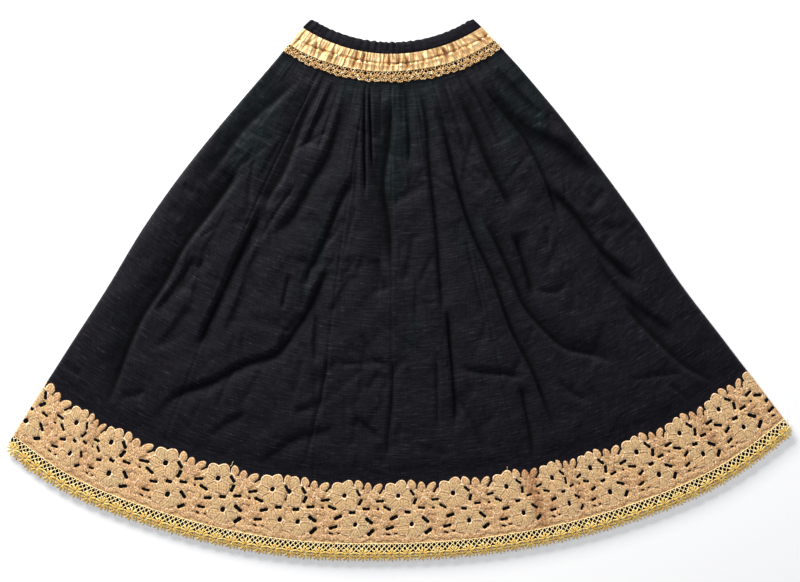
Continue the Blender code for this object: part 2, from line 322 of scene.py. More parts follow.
# Creases: width mm, depth share, lean (1 to the right, -1 to the left, 0 to neither), then points down the
# crease, each in degrees from the centre and mm down from the waist edge
CREASES = [
    (9, 0.95, -1, [(-29.2, 262), (-29.1, 320), (-29.8, 395), (-30.4, 455), (-30.2, 530), (-30.4, 615),
     (-29.3, 735), (-29.0, 785)]),
    (6, 0.6, 1, [(-28.4, 462), (-28.8, 525), (-29.6, 592)]),
    (7, 0.9, 1, [(-22.3, 330), (-22.8, 410), (-23.0, 495), (-23.2, 570), (-23.0, 618)]),
    (7, 0.5, 1, [(-20.6, 392), (-20.7, 460), (-20.5, 515), (-20.8, 578)]),
    (9, 0.8, -1, [(-21.2, 95), (-21.3, 190), (-21.1, 260), (-21.9, 310), (-22.1, 338)]),
    (8, 0.65, 1, [(-12.3, 85), (-13.7, 205), (-15.5, 265), (-16.9, 325), (-19.6, 392)]),
    (5, 0.75, 1, [(-7.7, 242), (-9.6, 290), (-10.9, 355), (-12.1, 410), (-13.2, 465)]),
    (6, 0.85, 1, [(-8.9, 392), (-10.5, 445), (-11.6, 500), (-13.9, 575), (-17.4, 612), (-20.4, 660),
     (-23.3, 702), (-24.8, 775)]),
    (3.2, 1.0, 0, [(-6.6, 76), (-5.1, 160), (-4.0, 238)]),
    (3.2, 0.9, 0, [(-7.9, 76), (-6.1, 195), (-4.9, 285)]),
    (9, 0.95, -1, [(0.0, 100), (-0.6, 180), (-1.6, 255), (-0.4, 335), (0.0, 440)]),
    (13, 0.75, -1, [(-26.2, 90), (-30.5, 175), (-32.1, 225), (-32.8, 295), (-33.1, 372)]),
    (12, 0.6, -1, [(-28.7, 300), (-29.3, 340), (-30.0, 385), (-31.6, 432)]),
    (3.5, 0.5, 0, [(-6.6, 582), (-3.4, 580), (-0.3, 578)]),
    (5, 0.4, 1, [(-7.6, 648), (-9.2, 664), (-10.8, 678)]),
    (7, 0.55, 1, [(-5.2, 693), (-9.7, 720), (-12.1, 758), (-13.3, 788)]),
    (6, 0.5, 1, [(-15.5, 692), (-17.3, 720), (-18.8, 755)]),
    (6, 0.6, -1, [(-4.1, 676), (-2.5, 695), (-1.0, 718)]),
    (5, 0.6, 0, [(-35.0, 750), (-33.8, 750), (-32.6, 751)]),
    (5, 0.5, 0, [(-26.2, 713), (-27.2, 730), (-28.3, 742)]),
    (4, 0.45, 1, [(-10.3, 492), (-9.8, 545), (-9.3, 590)]),
    (3, 0.45, 1, [(-15.1, 436), (-15.0, 470), (-14.8, 504)]),
    (8, 0.4, 1, [(-26.1, 542), (-26.5, 590), (-27.3, 640)]),
    (8, 0.5, -1, [(-2.5, 386), (-1.4, 425), (-0.5, 455)]),
    (5, 0.4, 1, [(-12.2, 500), (-13.6, 540), (-13.9, 575)]),
    (4, 0.4, 0, [(-22.3, 733), (-21.1, 744), (-20.4, 746)]),
    (5, 0.75, 1, [(7.6, 76), (8.5, 140), (7.7, 225), (7.4, 325), (6.9, 445), (6.7, 530)]),
    (6, 0.95, 1, [(11.8, 80), (12.2, 180), (12.5, 285), (13.3, 365), (14.6, 445), (15.2, 540),
     (16.3, 625), (16.7, 710), (17.1, 785)]),
    (9, 0.9, 1, [(17.9, 100), (19.2, 185), (19.4, 235), (20.2, 305), (20.8, 348)]),
    (7, 0.95, 1, [(15.4, 320), (16.5, 385), (17.3, 455), (17.7, 510), (19.3, 565), (20.9, 605),
     (24.3, 640), (25.8, 676)]),
    (7, 0.9, 1, [(19.5, 378), (19.4, 445), (19.0, 508)]),
    (5, 0.8, 1, [(24.6, 100), (26.8, 170), (28.3, 230), (28.1, 300), (27.5, 350), (26.3, 418)]),
    (14, 0.85, -1, [(25.8, 110), (28.2, 180), (30.3, 225), (33.4, 270), (35.0, 320), (36.6, 385)]),
    (7, 0.9, -1, [(27.2, 308), (29.6, 385), (30.4, 470), (31.4, 520), (32.4, 565)]),
    (8, 0.7, -1, [(29.0, 470), (29.7, 535), (30.6, 585), (31.9, 630), (33.0, 682)]),
    (8, 0.8, 1, [(29.2, 565), (30.4, 645), (31.8, 725), (33.9, 786)]),
    (4, 0.5, 0, [(26.1, 698), (28.9, 712), (31.4, 731)]),
    (4, 0.95, 1, [(7.5, 478), (7.2, 565), (7.0, 640), (6.6, 712)]),
    (3, 0.5, 0, [(5.5, 568), (5.2, 640), (4.8, 712)]),
    (6, 0.55, 0, [(8.0, 598), (10.6, 610), (13.0, 620), (15.8, 636)]),
    (7, 0.5, 1, [(6.9, 635), (8.1, 675), (8.9, 715), (9.4, 765)]),
    (5, 0.8, 1, [(14.5, 640), (14.3, 720), (13.9, 785)]),
    (4, 0.4, 0, [(20.0, 488), (22.3, 504), (24.4, 494)]),
    (6, 0.45, 0, [(18.8, 652), (19.9, 685), (21.2, 704)]),
    (3, 0.4, 0, [(12.1, 365), (12.1, 425), (12.4, 530)]),
    (5, 0.4, 0, [(29.4, 736), (30.0, 760), (30.5, 786)]),
    (7, 0.6, -1, [(30.8, 95), (32.4, 160), (33.8, 212)]),
    (4, 0.7, 1, [(3.6, 78), (3.9, 150), (3.4, 235)]),
    (4, 0.6, -1, [(15.0, 78), (15.7, 150), (15.9, 240)]),
    (5, 0.6, 1, [(21.6, 82), (22.8, 150), (23.4, 235)]),
    (5, 0.6, 1, [(-17.0, 80), (-18.2, 150), (-19.3, 225)]),
    (4, 0.5, -1, [(-3.2, 78), (-2.9, 130), (-2.7, 190)]),
    (3, 0.6, 1, [(0.1, 570), (0.0, 630), (-0.4, 700), (-0.7, 770)]),
    (3, 0.5, 0, [(-7.8, 560), (-8.0, 648), (-8.4, 707), (-8.7, 775)]),
]
# The back isn't seen, so it gets a few plain folds of the same kind
BACK_CREASES = [
    (16, 0.8, 1, [(-29.0, 150), (-29.6, 380), (-28.4, 640)]),
    (14, 0.7, -1, [(-21.0, 90), (-20.4, 330), (-22.0, 560)]),
    (15, 0.8, 1, [(-12.5, 90), (-14.2, 420), (-13.0, 760)]),
    (13, 0.6, -1, [(-4.0, 85), (-4.6, 300), (-3.9, 520)]),
    (16, 0.8, 1, [(4.6, 260), (6.2, 500), (6.8, 770)]),
    (14, 0.7, -1, [(12.0, 90), (14.0, 360), (13.4, 600)]),
    (16, 0.8, 1, [(20.5, 100), (22.4, 420), (23.5, 760)]),
    (15, 0.7, -1, [(29.0, 200), (30.8, 450), (30.2, 700)]),
    (13, 0.5, 0, [(-18.0, 690), (-12.0, 650), (-7.0, 670)]),
    (13, 0.5, 0, [(10.0, 640), (15.0, 610), (19.5, 625)]),
]
SMALL_WRINKLES = 200
EDGE_WRINKLES = 90


def small_wrinkles():
    """Faint short creases strewn over the cloth, and a ladder of them beside each side fold."""
    rows = []
    for number in range(SMALL_WRINKLES + EDGE_WRINKLES):
        at_edge = number >= SMALL_WRINKLES
        angle = rng.choice([-1, 1]) * rng.uniform(30.5, 34.5) if at_edge else rng.uniform(-32, 32)
        down = rng.uniform(110, 520) if at_edge else rng.uniform(150, 770)
        course = rng.normal(1.75 * np.sign(angle), 0.22) if at_edge else rng.normal(0, 0.7)
        length = rng.uniform(26, 60) if at_edge else rng.uniform(35, 130)
        radius = WAIST_RADIUS / MM + down
        aside = math.degrees(0.5 * length * math.sin(course) / radius)
        bow = math.degrees(rng.normal(0, 3) / radius)
        along = 0.5 * length * math.cos(course)
        points = [(angle - aside, down - along), (angle + bow, down), (angle + aside, down + along)]
        rows.append((rng.uniform(3, 6), rng.uniform(0.1, 0.32), rng.choice([-1, 0, 1]), points))
    return rows


CREASE_STEPS = 6


def crease_fields(x, y, row):
    """How far one crease presses the cloth down, and how shut it is, both from 0 to 1.

    Pressed = depth exp(-(distance / 0.7 width)^2) on the steep side, and the same with 2.8 widths on the
    side that it leans to, both fading at the tips. Shut = depth exp(-(distance / width)^3), over 0.4 of
    a width on the steep side and a whole one on the other, so it ends as a crisp line on the steep side.
    """
    width, depth, lean, points = row
    width = width * MM
    table = [(i, angle, down) for i, (angle, down) in enumerate(points)]
    steps = np.linspace(0, len(points) - 1, CREASE_STEPS * (len(points) - 1) + 1)
    angles = smooth_curve(table, 1, steps)
    downs = smooth_curve(table, 2, steps) * MM
    radius = WAIST_RADIUS + downs * smooth_curve(HEM_LENGTHS, 1, angles) * MM / LENGTH
    px, py = from_apex(angles, radius)
    reach = 4.5 * width if lean else 2.5 * width
    near = (x > px.min() - reach) & (x < px.max() + reach) & (y > py.min() - reach) & (y < py.max() + reach)
    gx, gy = x[near], y[near]
    best = np.full(gx.shape, 1e9)
    along = np.zeros(gx.shape)
    side = np.zeros(gx.shape)
    for i in range(len(px) - 1):
        sx, sy = px[i + 1] - px[i], py[i + 1] - py[i]
        ox, oy = gx - px[i], gy - py[i]
        share = np.clip((ox * sx + oy * sy) / (sx * sx + sy * sy), 0, 1)
        distance = np.hypot(ox - share * sx, oy - share * sy)
        nearer = distance < best
        best = np.where(nearer, distance, best)
        along = np.where(nearer, (i + share) / (len(px) - 1), along)
        side = np.where(nearer, np.sign(sx * oy - sy * ox), side)
    tips = ease(0, 0.16, along) * (1 - ease(0.8, 1, along))
    leaning = side * lean > 0
    spread = np.where(leaning, 2.8, 0.7 if lean else 1.0) * width
    band = np.where(leaning, 1.0, 0.4 if lean else 0.6) * width
    pressed, shut = np.zeros_like(x), np.zeros_like(x)
    pressed[near] = depth * tips * np.exp(-(best / spread) ** 2)
    shut[near] = depth * tips * np.exp(-(best / band) ** 3)
    return pressed, shut


print("creases on the front:", len(CREASES), "and on the back:", len(BACK_CREASES))

# %% Height of the front over the back


def gather_wave(across, down):
    """Gathers under the waist trim: a wave of uneven pitch whose valleys die out at uneven lengths."""
    wander = 0.34 * np.sin(9.1 * across) + 0.22 * np.sin(23.7 * across + 1) + 0.1 * np.sin(51 * across + 2)
    phase = GATHERS * (across + 1) / 2 + wander
    valley_shade = np.maximum(np.cos(2 * math.pi * phase), -0.2)
    length = (150 + 70 * np.sin(2.4 * np.round(phase)) + 40 * np.sin(5.3 * np.round(phase))) * MM
    share = (0.4 + 0.3 * np.sin(1.9 * np.round(phase) + 1)) * (0.6 + 0.4 * np.sin(11 * across + 0.5))
    fine = 0.05 * np.cos(2 * math.pi * 2.3 * phase + 0.7) * (1 - ease(85 * MM, 130 * MM, down))
    return (0.5 + 0.5 * valley_shade) * (1 - ease(0.3 * length, length, down - WAIST_LACE_BOTTOM)) * share + fine


def front_relief(across, down):
    """Puff x round shoulder at the side folds x (1 - gathers) x (1 - each crease), and the shade painted into gathers
    and creases.
    """
    height = np.maximum(smooth_curve(PUFF, 1, down / MM), 0) * MM
    inward = np.clip(to_side(across, down) / SIDE_ROUNDING, 0, 1)
    height = height * np.sqrt(1 - (1 - inward) ** 2)
    height = height * (1 - np.clip(gather_wave(across, down), 0, 0.85))
    x, y = place(across, down)
    # Painted shade: the gathers' valleys and each crease's line and slope darken the cloth's colour, where shade
    # falls.
    painted_shade = np.clip(0.5 * gather_wave(across, down), 0, 1)
    for rows, sunk, dark_line, dark_slope in ((CREASES, 0.88, 0.64, 0.34), (small_wrinkles(), 0.8, 0.7, 0)):
        for row in rows:
            pressed, shut = crease_fields(x, y, row)
            height = height * (1 - sunk * pressed)
            painted_shade = 1 - (1 - painted_shade) * (1 - dark_line * shut - dark_slope * pressed)
    swell = np.sin(38 * x + 7 * np.sin(6 * y)) * np.sin(17 * y + 4 * np.sin(9 * x)) + 0.5 * np.sin(61 * x - 83 * y)
    return height * (1 + 0.1 * swell), painted_shade


def back_creases(across, down):
    """How shut the folds of the back are, which lift it off the floor by as much, and the shade painted into them."""
    x, y = place(across, down)
    painted_shade = np.zeros_like(x)
    for row in BACK_CREASES:
        painted_shade = np.maximum(painted_shade, crease_fields(x, y, row)[0])
    return painted_shade


# Where the back cloth comes down to the floor below the waist trims, and rises again over the border
BELOW_WAIST_TRIM = (75.5 * MM, 90 * MM)
ABOVE_BORDER = (776 * MM, 790 * MM)


def back_bottom(across, down):
    """The back cloth's outer side rests on the floor, and lies over the trims at waist and border."""
    over = 1 - ease(*BELOW_WAIST_TRIM, down) + ease(*ABOVE_BORDER, down)
    return (TRIM + SEAM) * over + 0 * across


FOLD_RADIUS = 4 * MM
# Trims reach this much further across than the cloth, so that they wrap round its side folds
OVERHANG = 1.0008


def fold_round(across, down):
    """0 at the side fold to 1 a few millimetres in, as a quarter circle."""
    inward = np.clip(to_side(across, down) / FOLD_RADIUS, 0, 1)
    return np.sqrt(1 - (1 - inward) ** 2)


def front_point(across, down, lift, relief=0):
    """A point of a front layer: over the contact height by the cloth's top, its relief and its lift."""
    x, y = place(across * np.where(lift > 0, OVERHANG, 1), down)
    rise = FRONT_TOP - CONTACT + relief + lift
    return np.stack([x, y, back_bottom(across, down) + CONTACT + rise * fold_round(across, down)], axis=-1)


def back_point(across, down, lift, raised=0):
    """A point of a back layer: under the contact height by the cloth's thickness and its lift, less any fold."""
    x, y = place(across * np.where(lift > 0, OVERHANG, 1), down)
    bottom = back_bottom(across, down) - lift + 0.1 * MM + raised
    contact = back_bottom(across, down) + CONTACT
    return np.stack([x, y, contact - (contact - bottom) * fold_round(across, down)], axis=-1)


# %% [markdown]
# ## The black cloth
# The cloth is a plain weave with slubs: short thick places in the yarn that run round the skirt as fine
# pale dashes. Black cloth shows little but its gloss, so the finish leans on a faint gloss that dies away in
# the folds, on shade painted almost black into the folds, on a teal sheen painted into its colour, mostly
# near the waist, and on bump.
# Its slubs are drawn about 2 mm wide, several times their real width, so that they show at this distance.

# %% Slubbed cloth finish


PLUM_TONES = [(0.0, "#040306"), (0.35, "#0c0a11"), (0.6, "#15131b"), (0.8, "#22202b"), (1.0, "#403c48")]
# Painted sheen: tones of the teal that the cloth's gloss shows towards the light, painted into its colour.
TEAL_SHEEN_TONES = [(0.0, "#020607"), (0.35, "#080e11"), (0.6, "#0e181c"), (0.8, "#18272b"), (1.0, "#303f44")]


def slub_cloth_material():
    """Matt plain weave of uneven yarn: near black, dull and painted darker as shade in its folds, with a painted teal
    sheen mostly near the waist.
    """
    made, tree, shader = new_material("slubbed_plain_weave_black")
    uv = add(tree, "UVMap", uv_map="cloth")

    def yarns(along, thick, detail):
        scaled = add(tree, "Mapping", {"Vector": uv, "Scale": (1 / along, 1 / thick, 1)})
        return add(tree, "TexNoise", {"Vector": scaled, "Scale": 1.0, "Detail": detail, "Roughness": 0.65})

    weft = yarns(17 * MM, 1.9 * MM, 3.0)
    slub = yarns(44 * MM, 3.0 * MM, 3.0)
    warp = yarns(2.4 * MM, 30 * MM, 2.0)
    both = add(tree, "Math", {0: weft, 1: slub}, operation="ADD")
    mixed = add(tree, "Math", {0: warp, 1: 0.45, 2: both}, operation="MULTIPLY_ADD")
    tone = add(tree, "MapRange", {"Value": mixed, "From Min": 0.95, "From Max": 1.62})
    plum = add(tree, "ValToRGB", {"Fac": tone}, stops=PLUM_TONES)
    teal_sheen = add(tree, "ValToRGB", {"Fac": tone}, stops=TEAL_SHEEN_TONES)

    # Painted sheen: patches of teal, more of them near the waist and near the middle.
    sheen_patches = yarns(120 * MM, 280 * MM, 3.0)
    across = add(tree, "SeparateXYZ", {"Vector": uv}, "X")
    radius = add(tree, "SeparateXYZ", {"Vector": uv}, "Y")
    high = add(tree, "MapRange", {"Value": radius, "From Min": 0.38, "From Max": 0.9, "To Min": 0.12, "To Max": -0.1})
    aside = add(tree, "Math", {0: across, 1: 25 * MM}, operation="SUBTRACT")
    far = add(tree, "Math", {0: aside}, operation="ABSOLUTE")
    middle = add(tree, "MapRange", {"Value": far, "From Max": 70 * MM, "To Min": 0.06, "To Max": 0})
    risen = add(tree, "Math", {0: high, 1: middle}, operation="ADD")
    favoured = add(tree, "Math", {0: sheen_patches, 1: risen}, operation="ADD")
    where = add(tree, "MapRange", {"Value": favoured, "From Min": 0.54, "From Max": 0.66})
    base = add(tree, "Mix", {0: where, 6: plum, 7: teal_sheen}, 2, data_type="RGBA")

    # Painted shade: the colour is darkened almost to black in creases, gathers and under the lace border.
    painted_shade = add(tree, "Attribute", output="Fac", attribute_name="painted_shade")
    shut = add(tree, "Mix", {0: painted_shade, 6: base, 7: hex_colour("#000001")}, 2, data_type="RGBA")
    dull = add(tree, "MapRange", {"Value": painted_shade, "To Min": 0.6, "To Max": 1.0})
    crumple = add(tree, "TexNoise", {"Vector": uv, "Scale": 1 / (24 * MM), "Detail": 5.0, "Distortion": 0.5})
    soft = add(tree, "Bump", {"Height": crumple, "Strength": 0.4, "Distance": 5 * MM})
    bump = add(tree, "Bump", {"Height": mixed, "Strength": 0.6, "Distance": 0.5 * MM, "Normal": soft})
    plug(tree, shader, {"Base Color": shut, "Roughness": dull, "Specular IOR Level": 0.1, "Sheen Weight": 0.02,
                        "Sheen Roughness": 0.45, "Sheen Tint": hex_colour("#a4a2b8"), "Normal": bump})
    return made


slub_cloth = slub_cloth_material()
print("nodes in the cloth's finish:", len(slub_cloth.node_tree.nodes))

# %% [markdown]
# ## One tube of cloth
# The gores are sewn into a tube, so front and back are one surface here: a grid whose columns run across
# the front from fold to fold and home again across the back. Rows lie closer under the waistband, where
# the gathers are. The gore seams are drawn in as narrow valleys with a slight pucker beside them.

# %% Skirt cloth
FRONT_COLUMNS = 390
BACK_COLUMNS = 130
CLOTH_ROWS = 190
# The gore seams of the front, as across values
FRONT_SEAMS = [-0.64, -0.22, 0, 0.35, 0.71]
SEAM_WIDTH = 1.6 * MM


def seam_valley(across, down):
    """How far a seam draws the cloth in: 0.9 mm x exp(-(distance / width)^2), uneven, with a low ridge 5 mm off."""
    drawn = np.zeros_like(across)
    for seam in FRONT_SEAMS:
        aside = arc(np.abs(across - seam), across, down)
        uneven = 1 + 0.3 * np.sin(2 * math.pi * down / (17 * MM) + 5 * seam)
        drawn += 0.9 * MM * uneven * np.exp(-(aside / SEAM_WIDTH) ** 2)
        drawn -= 0.35 * MM * np.exp(-((aside - 5 * MM) / (3 * MM)) ** 2)
    return drawn


def make_cloth():
    """A loop of columns, front left to right then back right to left, over rows from casing to hem.

    Rows lie closer together near the waist: down = top + (hem - top) (0.72 t + 0.28 t^2).
    """
    t = np.linspace(0, 1, CLOTH_ROWS)
    down = CASING_BOTTOM + (CLOTH_HEM - CASING_BOTTOM) * (0.72 * t + 0.28 * t * t)
    spread = np.sin(np.linspace(-math.pi / 2, math.pi / 2, FRONT_COLUMNS))
    front_line = 0.86 * np.linspace(-1, 1, FRONT_COLUMNS) + 0.14 * spread
    front_across, front_down = np.meshgrid(front_line, down)
    back_across, back_down = np.meshgrid(np.linspace(1, -1, BACK_COLUMNS)[1:-1], down)
    relief, painted_shade = front_relief(front_across, front_down)
    relief = relief - seam_valley(front_across, front_down) * np.clip(relief / MM, 0, 1)
    front = front_point(front_across, front_down, 0, relief)
    back_folds_and_shade = back_creases(back_across, back_down)
    back = back_point(back_across, back_down, 0, 1.2 * MM * back_folds_and_shade)
    uv = [cloth_uv(front_across, front_down), cloth_uv(back_across, back_down)]
    # Painted shade: the cloth is darkened under the lace border, and in the back's folds at half strength.
    shade_under_border = 0.8 * ease(BORDER_TOP, BORDER_TOP + 25 * MM, front_down)
    painted_shade = np.concatenate([np.maximum(painted_shade, shade_under_border), 0.5 * back_folds_and_shade], axis=1)
    quads = grid_quads(CLOTH_ROWS, FRONT_COLUMNS + BACK_COLUMNS - 2, closed=True)
    return mesh_piece("skirt_cloth", np.concatenate([front, back], axis=1), quads, np.concatenate(uv, axis=1),
                      slub_cloth, {"painted_shade": painted_shade})


skirt_cloth = make_cloth()
GORES = [f"{side}_gore_{number}" for side in ("front", "back") for number in range(1, 7)]
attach(skirt_cloth, "root")
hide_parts(*GORES)
print("skirt cloth faces:", len(skirt_cloth.data.polygons))

# %% [markdown]
# ## The gathered casing
# The waist edge is a channel of the same cloth with elastic drawn through it, so it is thick, soft-edged
# and finely ruffled. A flattened oval section is carried round the waist, and the ruffles swell it.

# %% Waist casing
CASING_COLUMNS = 420
CASING_SECTION = 20
# Where on the cloth the strip was cut, as the V of its UV map: clear of the painted teal sheen
CASING_CUT_AT = 1.1
CASING_WIDTH_ROUND = 170 * MM
FRONT_CENTRE, FRONT_HALF = 4.4 * MM, 2.0 * MM
BACK_CENTRE, BACK_HALF = 1.7 * MM, 1.6 * MM


def loop_layers(columns):
    """Across values of a loop round the flattened tube, and whether each lies on the front."""
    step = middles(columns // 2)
    return np.concatenate([step, step[::-1]]), np.arange(columns) < columns // 2


def make_casing():
    """Section: x = half height cos(t), z = half thickness sin(t), swollen by the ruffle wave round the waist."""
    across, is_front = loop_layers(CASING_COLUMNS)
    turn = turns(CASING_SECTION)[:, None]
    side = np.where(is_front, 1, 2)
    wave = np.sin(2 * math.pi * 13 * across + side + 1.9 * np.sin(7 * across)) + 0.6 * np.sin(61 * across + side)
    wave = (wave + 0.35 * np.sin(2 * math.pi * 31 * across + 2 * side)) * (0.72 + 0.28 * np.sin(5 * across + 2))
    middle = (CASING_BOTTOM - 1 * MM) / 2
    at_top = np.clip(-np.cos(turn), 0, 1)
    corner = 1 - np.clip(to_side(across, 0 * across) / (7 * MM), 0, 1)
    cut = 5 * MM * (1 - np.sqrt(1 - corner ** 2)) * at_top
    down = middle + (middle + 0.9 * MM * wave * at_top) * np.cos(turn) * np.where(np.cos(turn) < 0, 1, 1.06) + cut
    outward = np.sign(np.sin(turn)) * np.abs(np.sin(turn)) ** 0.7
    swell = 1 + 0.28 * wave * (0.7 - 0.3 * np.cos(turn)) * (outward > 0)
    thick = np.where(is_front, FRONT_HALF * swell, -BACK_HALF)
    x, y = place(across, down)
    points = np.stack([x, y, np.where(is_front, FRONT_CENTRE, BACK_CENTRE) + outward * thick], axis=-1)
    uv = np.stack([across * CASING_WIDTH_ROUND + 0 * down, CASING_CUT_AT + down], axis=-1)
    quads = grid_quads(CASING_SECTION, CASING_COLUMNS, closed=True, rolled=True)
    return mesh_piece("waist_casing", points, quads, uv, slub_cloth)


waist_casing = make_casing()
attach(waist_casing, "root")
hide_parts("casing_front", "casing_back")
print("casing faces:", len(waist_casing.data.polygons))

# %% [markdown]
# ## The satin ribbon
# A satin ribbon is sewn flat round the skirt while the elastic is stretched, so it puckers when the waist
# draws in: soft cross folds of uneven width and one long crease along it. The deepest folds are placed one
# by one, and the rest are waves. Satin has a gloss that runs with its threads, so it wants a low roughness and
# only slight colour changes of its own; the shape does the rest, with shade painted brown into its valleys.

# %% Satin ribbon
RIBBON_COLUMNS = 900
RIBBON_ROWS = 26
RIBBON_RADIUS_MM = 312
RIBBON_TOP = CASING_BOTTOM - 1.2 * MM
# Folds across the ribbon: angle in degrees, width mm, depth share, slant mm
RIBBON_FOLDS = [
    (-32.1, 2.5, 0.5, 4), (-28.8, 3.5, 0.4, 14), (-26.0, 2.5, 0.5, -12), (-23.0, 4.0, 0.3, 10), (-19.9, 2.6, 0.6, -5),
    (-15.1, 2.6, 0.6, 4), (-11.9, 3.6, 0.9, 2), (-9.6, 2.6, 1.0, -2), (-8.2, 1.8, 0.6, -3), (-5.1, 2.5, 0.5, 0),
    (-2.5, 2.6, 0.6, 2), (-0.8, 2.6, 0.8, -1), (0.7, 1.8, 0.5, 0), (2.6, 2.6, 0.5, 3), (5.1, 3.4, 0.9, -2),
    (7.7, 2.6, 0.4, 3), (10.8, 3.6, 0.35, 6), (13.7, 2.6, 0.5, -3), (16.4, 2.6, 0.9, 1), (18.5, 4.0, 0.9, -2),
    (21.7, 2.6, 0.7, 1), (23.6, 2.6, 0.6, -2), (26.4, 3.4, 0.5, 5), (30.7, 2.6, 0.6, -5), (33.1, 2.6, 0.5, 2),
]
# How far the ribbon's lower edge strays from its line: angle in degrees, mm down
RIBBON_DRIFT = [
    (-34, 4.6), (-26, 2.6), (-18, 0.9), (-10, -0.6), (0, -2.2), (7, -2.6), (15, -1.8), (24, -1.1), (35, -0.8),
]


def trim_drift(across, down):
    """The drift of a point of the waist trims: none at the ribbon's top, full at its lower edge, then fading."""
    drift = smooth_curve(RIBBON_DRIFT, 1, across * side_angle(across, down)) * MM
    rising = np.clip((down - CASING_BOTTOM) / (RIBBON_BOTTOM - CASING_BOTTOM), 0, 1)
    return drift * rising * (1 - 0.6 * ease(RIBBON_BOTTOM, WAIST_LACE_BOTTOM, down))


def satin_material():
    """Glossy warp-faced weave in pale gold yarn: low roughness, half metallic, with fine lengthwise ribs and shade
    painted brown into its fold valleys.

    Real satin threads are about 0.1 mm, too fine to show, so they are drawn as ribs of 1.6 mm.
    """
    made, tree, shader = new_material("woven_satin_ribbon_gold")
    uv = add(tree, "UVMap", uv_map="cloth")
    threads = add(tree, "Mapping", {"Vector": uv, "Scale": (1 / (30 * MM), 1 / (1.6 * MM), 1)})
    rib = add(tree, "TexNoise", {"Vector": threads, "Scale": 1.0, "Detail": 2.0})
    patches = add(tree, "TexNoise", {"Vector": uv, "Scale": 40.0, "Detail": 2.0})
    tone = add(tree, "Math", {0: rib, 1: patches}, operation="MULTIPLY")
    base = add(tree, "ValToRGB", {"Fac": tone}, stops=[(0.1, "#bc9260"), (0.25, "#dbb37e"), (0.45, "#f2ce9a")])
    # Painted shade: the lower a part of the puckers lies, the more its colour is multiplied towards brown.
    valley_shade = add(tree, "Attribute", output="Fac", attribute_name="valley_shade")
    shade = add(tree, "ValToRGB", {"Fac": valley_shade},
                stops=[(0.0, "#ffffff"), (0.25, "#f1d6ae"), (0.5, "#a8733f"), (0.85, "#5e3a1a")])
    folded = add(tree, "Mix", {0: 0.9, 6: base, 7: shade}, 2, data_type="RGBA", blend_type="MULTIPLY")
    bump = add(tree, "Bump", {"Height": rib, "Strength": 0.35, "Distance": 0.3 * MM})
    plug(tree, shader, {"Base Color": folded, "Roughness": 0.36, "Metallic": 0.5, "Sheen Weight": 0.15,
                        "Normal": bump})
    return made


def pucker(across, share):
    """Small leaning cross folds, one lengthwise crease, and each placed fold as a valley with a ridge beside it.

    A placed fold takes away 3.1 depth exp(-(x / width)^2) and adds 1.3 depth exp(-((x - 1.7 width) / width)^2).
    """
    angle = across * side_angle(across, 40 * MM)
    placed = np.zeros_like(across)
    for at, width, depth, slant in RIBBON_FOLDS:
        aside = np.radians(angle - at) * RIBBON_RADIUS_MM + slant * (share - 0.5) + 0.6 * np.sin(9 * share + at)
        aside = aside / width
        valley_and_ridge = 1.1 * np.exp(-(aside - 1.7) ** 2) - 2.6 * np.exp(-aside ** 2)
        placed += depth * valley_and_ridge * (0.75 + 0.25 * np.sin(6 * share + 2 * at))
    crease_at = 0.53 + 0.05 * np.sin(6 * across + 1)
    lower = ease(-0.05, 0.05, share - crease_at)
    warp = 1.3 * np.sin(7 * across) + 1.1 * np.sin(17 * across + 2) + 0.6 * np.sin(41 * across)
    slope = 2.2 * (share - 0.5) * np.sin(11 * across + 1)
    phase = 2 * math.pi * 11 * across + warp + slope + 1.4 * lower * np.sin(13 * across + 2)
    lean = np.where(np.sin(5 * across + 1) > 0, 1, -1) * ease(0, 0.3, np.abs(np.sin(5 * across + 1)))
    folds = np.sin(phase) + 0.5 * np.sin(2 * phase + lean) + 0.25 * np.sin(3 * phase + 2 * lean)
    strength = 0.5 + 0.28 * np.sin(3.1 * across + 2.2 * lower) * np.sin(19 * across)
    strength = strength + 0.22 * np.sin(29 * across + 9 * share)
    crinkle = 0.2 * np.sin(83 * across + 9 * share) * np.sin(131 * across - 7 * share + 1)
    sewn = np.sin(math.pi * np.clip(share, 0.06, 0.94)) ** 0.5
    crease = -1.2 * (0.7 + 0.3 * np.sin(15 * across)) * np.exp(-((share - crease_at) / 0.05) ** 2)
    ridge = 0.3 * np.exp(-((share - crease_at - 0.13) / 0.07) ** 2)
    return (1.9 + (0.75 * folds * strength + crinkle + 1.2 * placed) * sewn + 1.3 * crease + ridge) * MM


def make_ribbon():
    """A band sewn round the tube, at 0.8 mm + pucker off the cloth; an attribute says how low it lies, and shade is
    painted there.
    """
    across, is_front = loop_layers(RIBBON_COLUMNS)
    across, share = np.meshgrid(across, np.linspace(0, 1, RIBBON_ROWS))
    down = RIBBON_TOP + (RIBBON_BOTTOM - RIBBON_TOP) * share
    down = down + trim_drift(across, down)
    lift = 0.8 * MM + pucker(across, share)
    front = front_point(across, down, np.maximum(lift, 0.1 * MM))
    back = back_point(across, down, np.clip(0.9 * MM + 0.2 * lift, 0.4 * MM, 1.4 * MM))
    points = np.where(is_front[None, :, None], front, back)
    valley_shade = np.clip(0.72 - lift / (3.6 * MM), 0, 1) * ease(0, 0.12, share) * (1 - ease(0.88, 1, share))
    quads = grid_quads(RIBBON_ROWS, RIBBON_COLUMNS, closed=True)
    return mesh_piece("satin_ribbon", points, quads, cloth_uv(across, down), satin_material(), {"valley_shade": valley_shade})


satin_ribbon = make_ribbon()
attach(satin_ribbon, "root")
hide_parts("satin_ribbon_front", "satin_ribbon_back")
print("ribbon faces:", len(satin_ribbon.data.polygons))

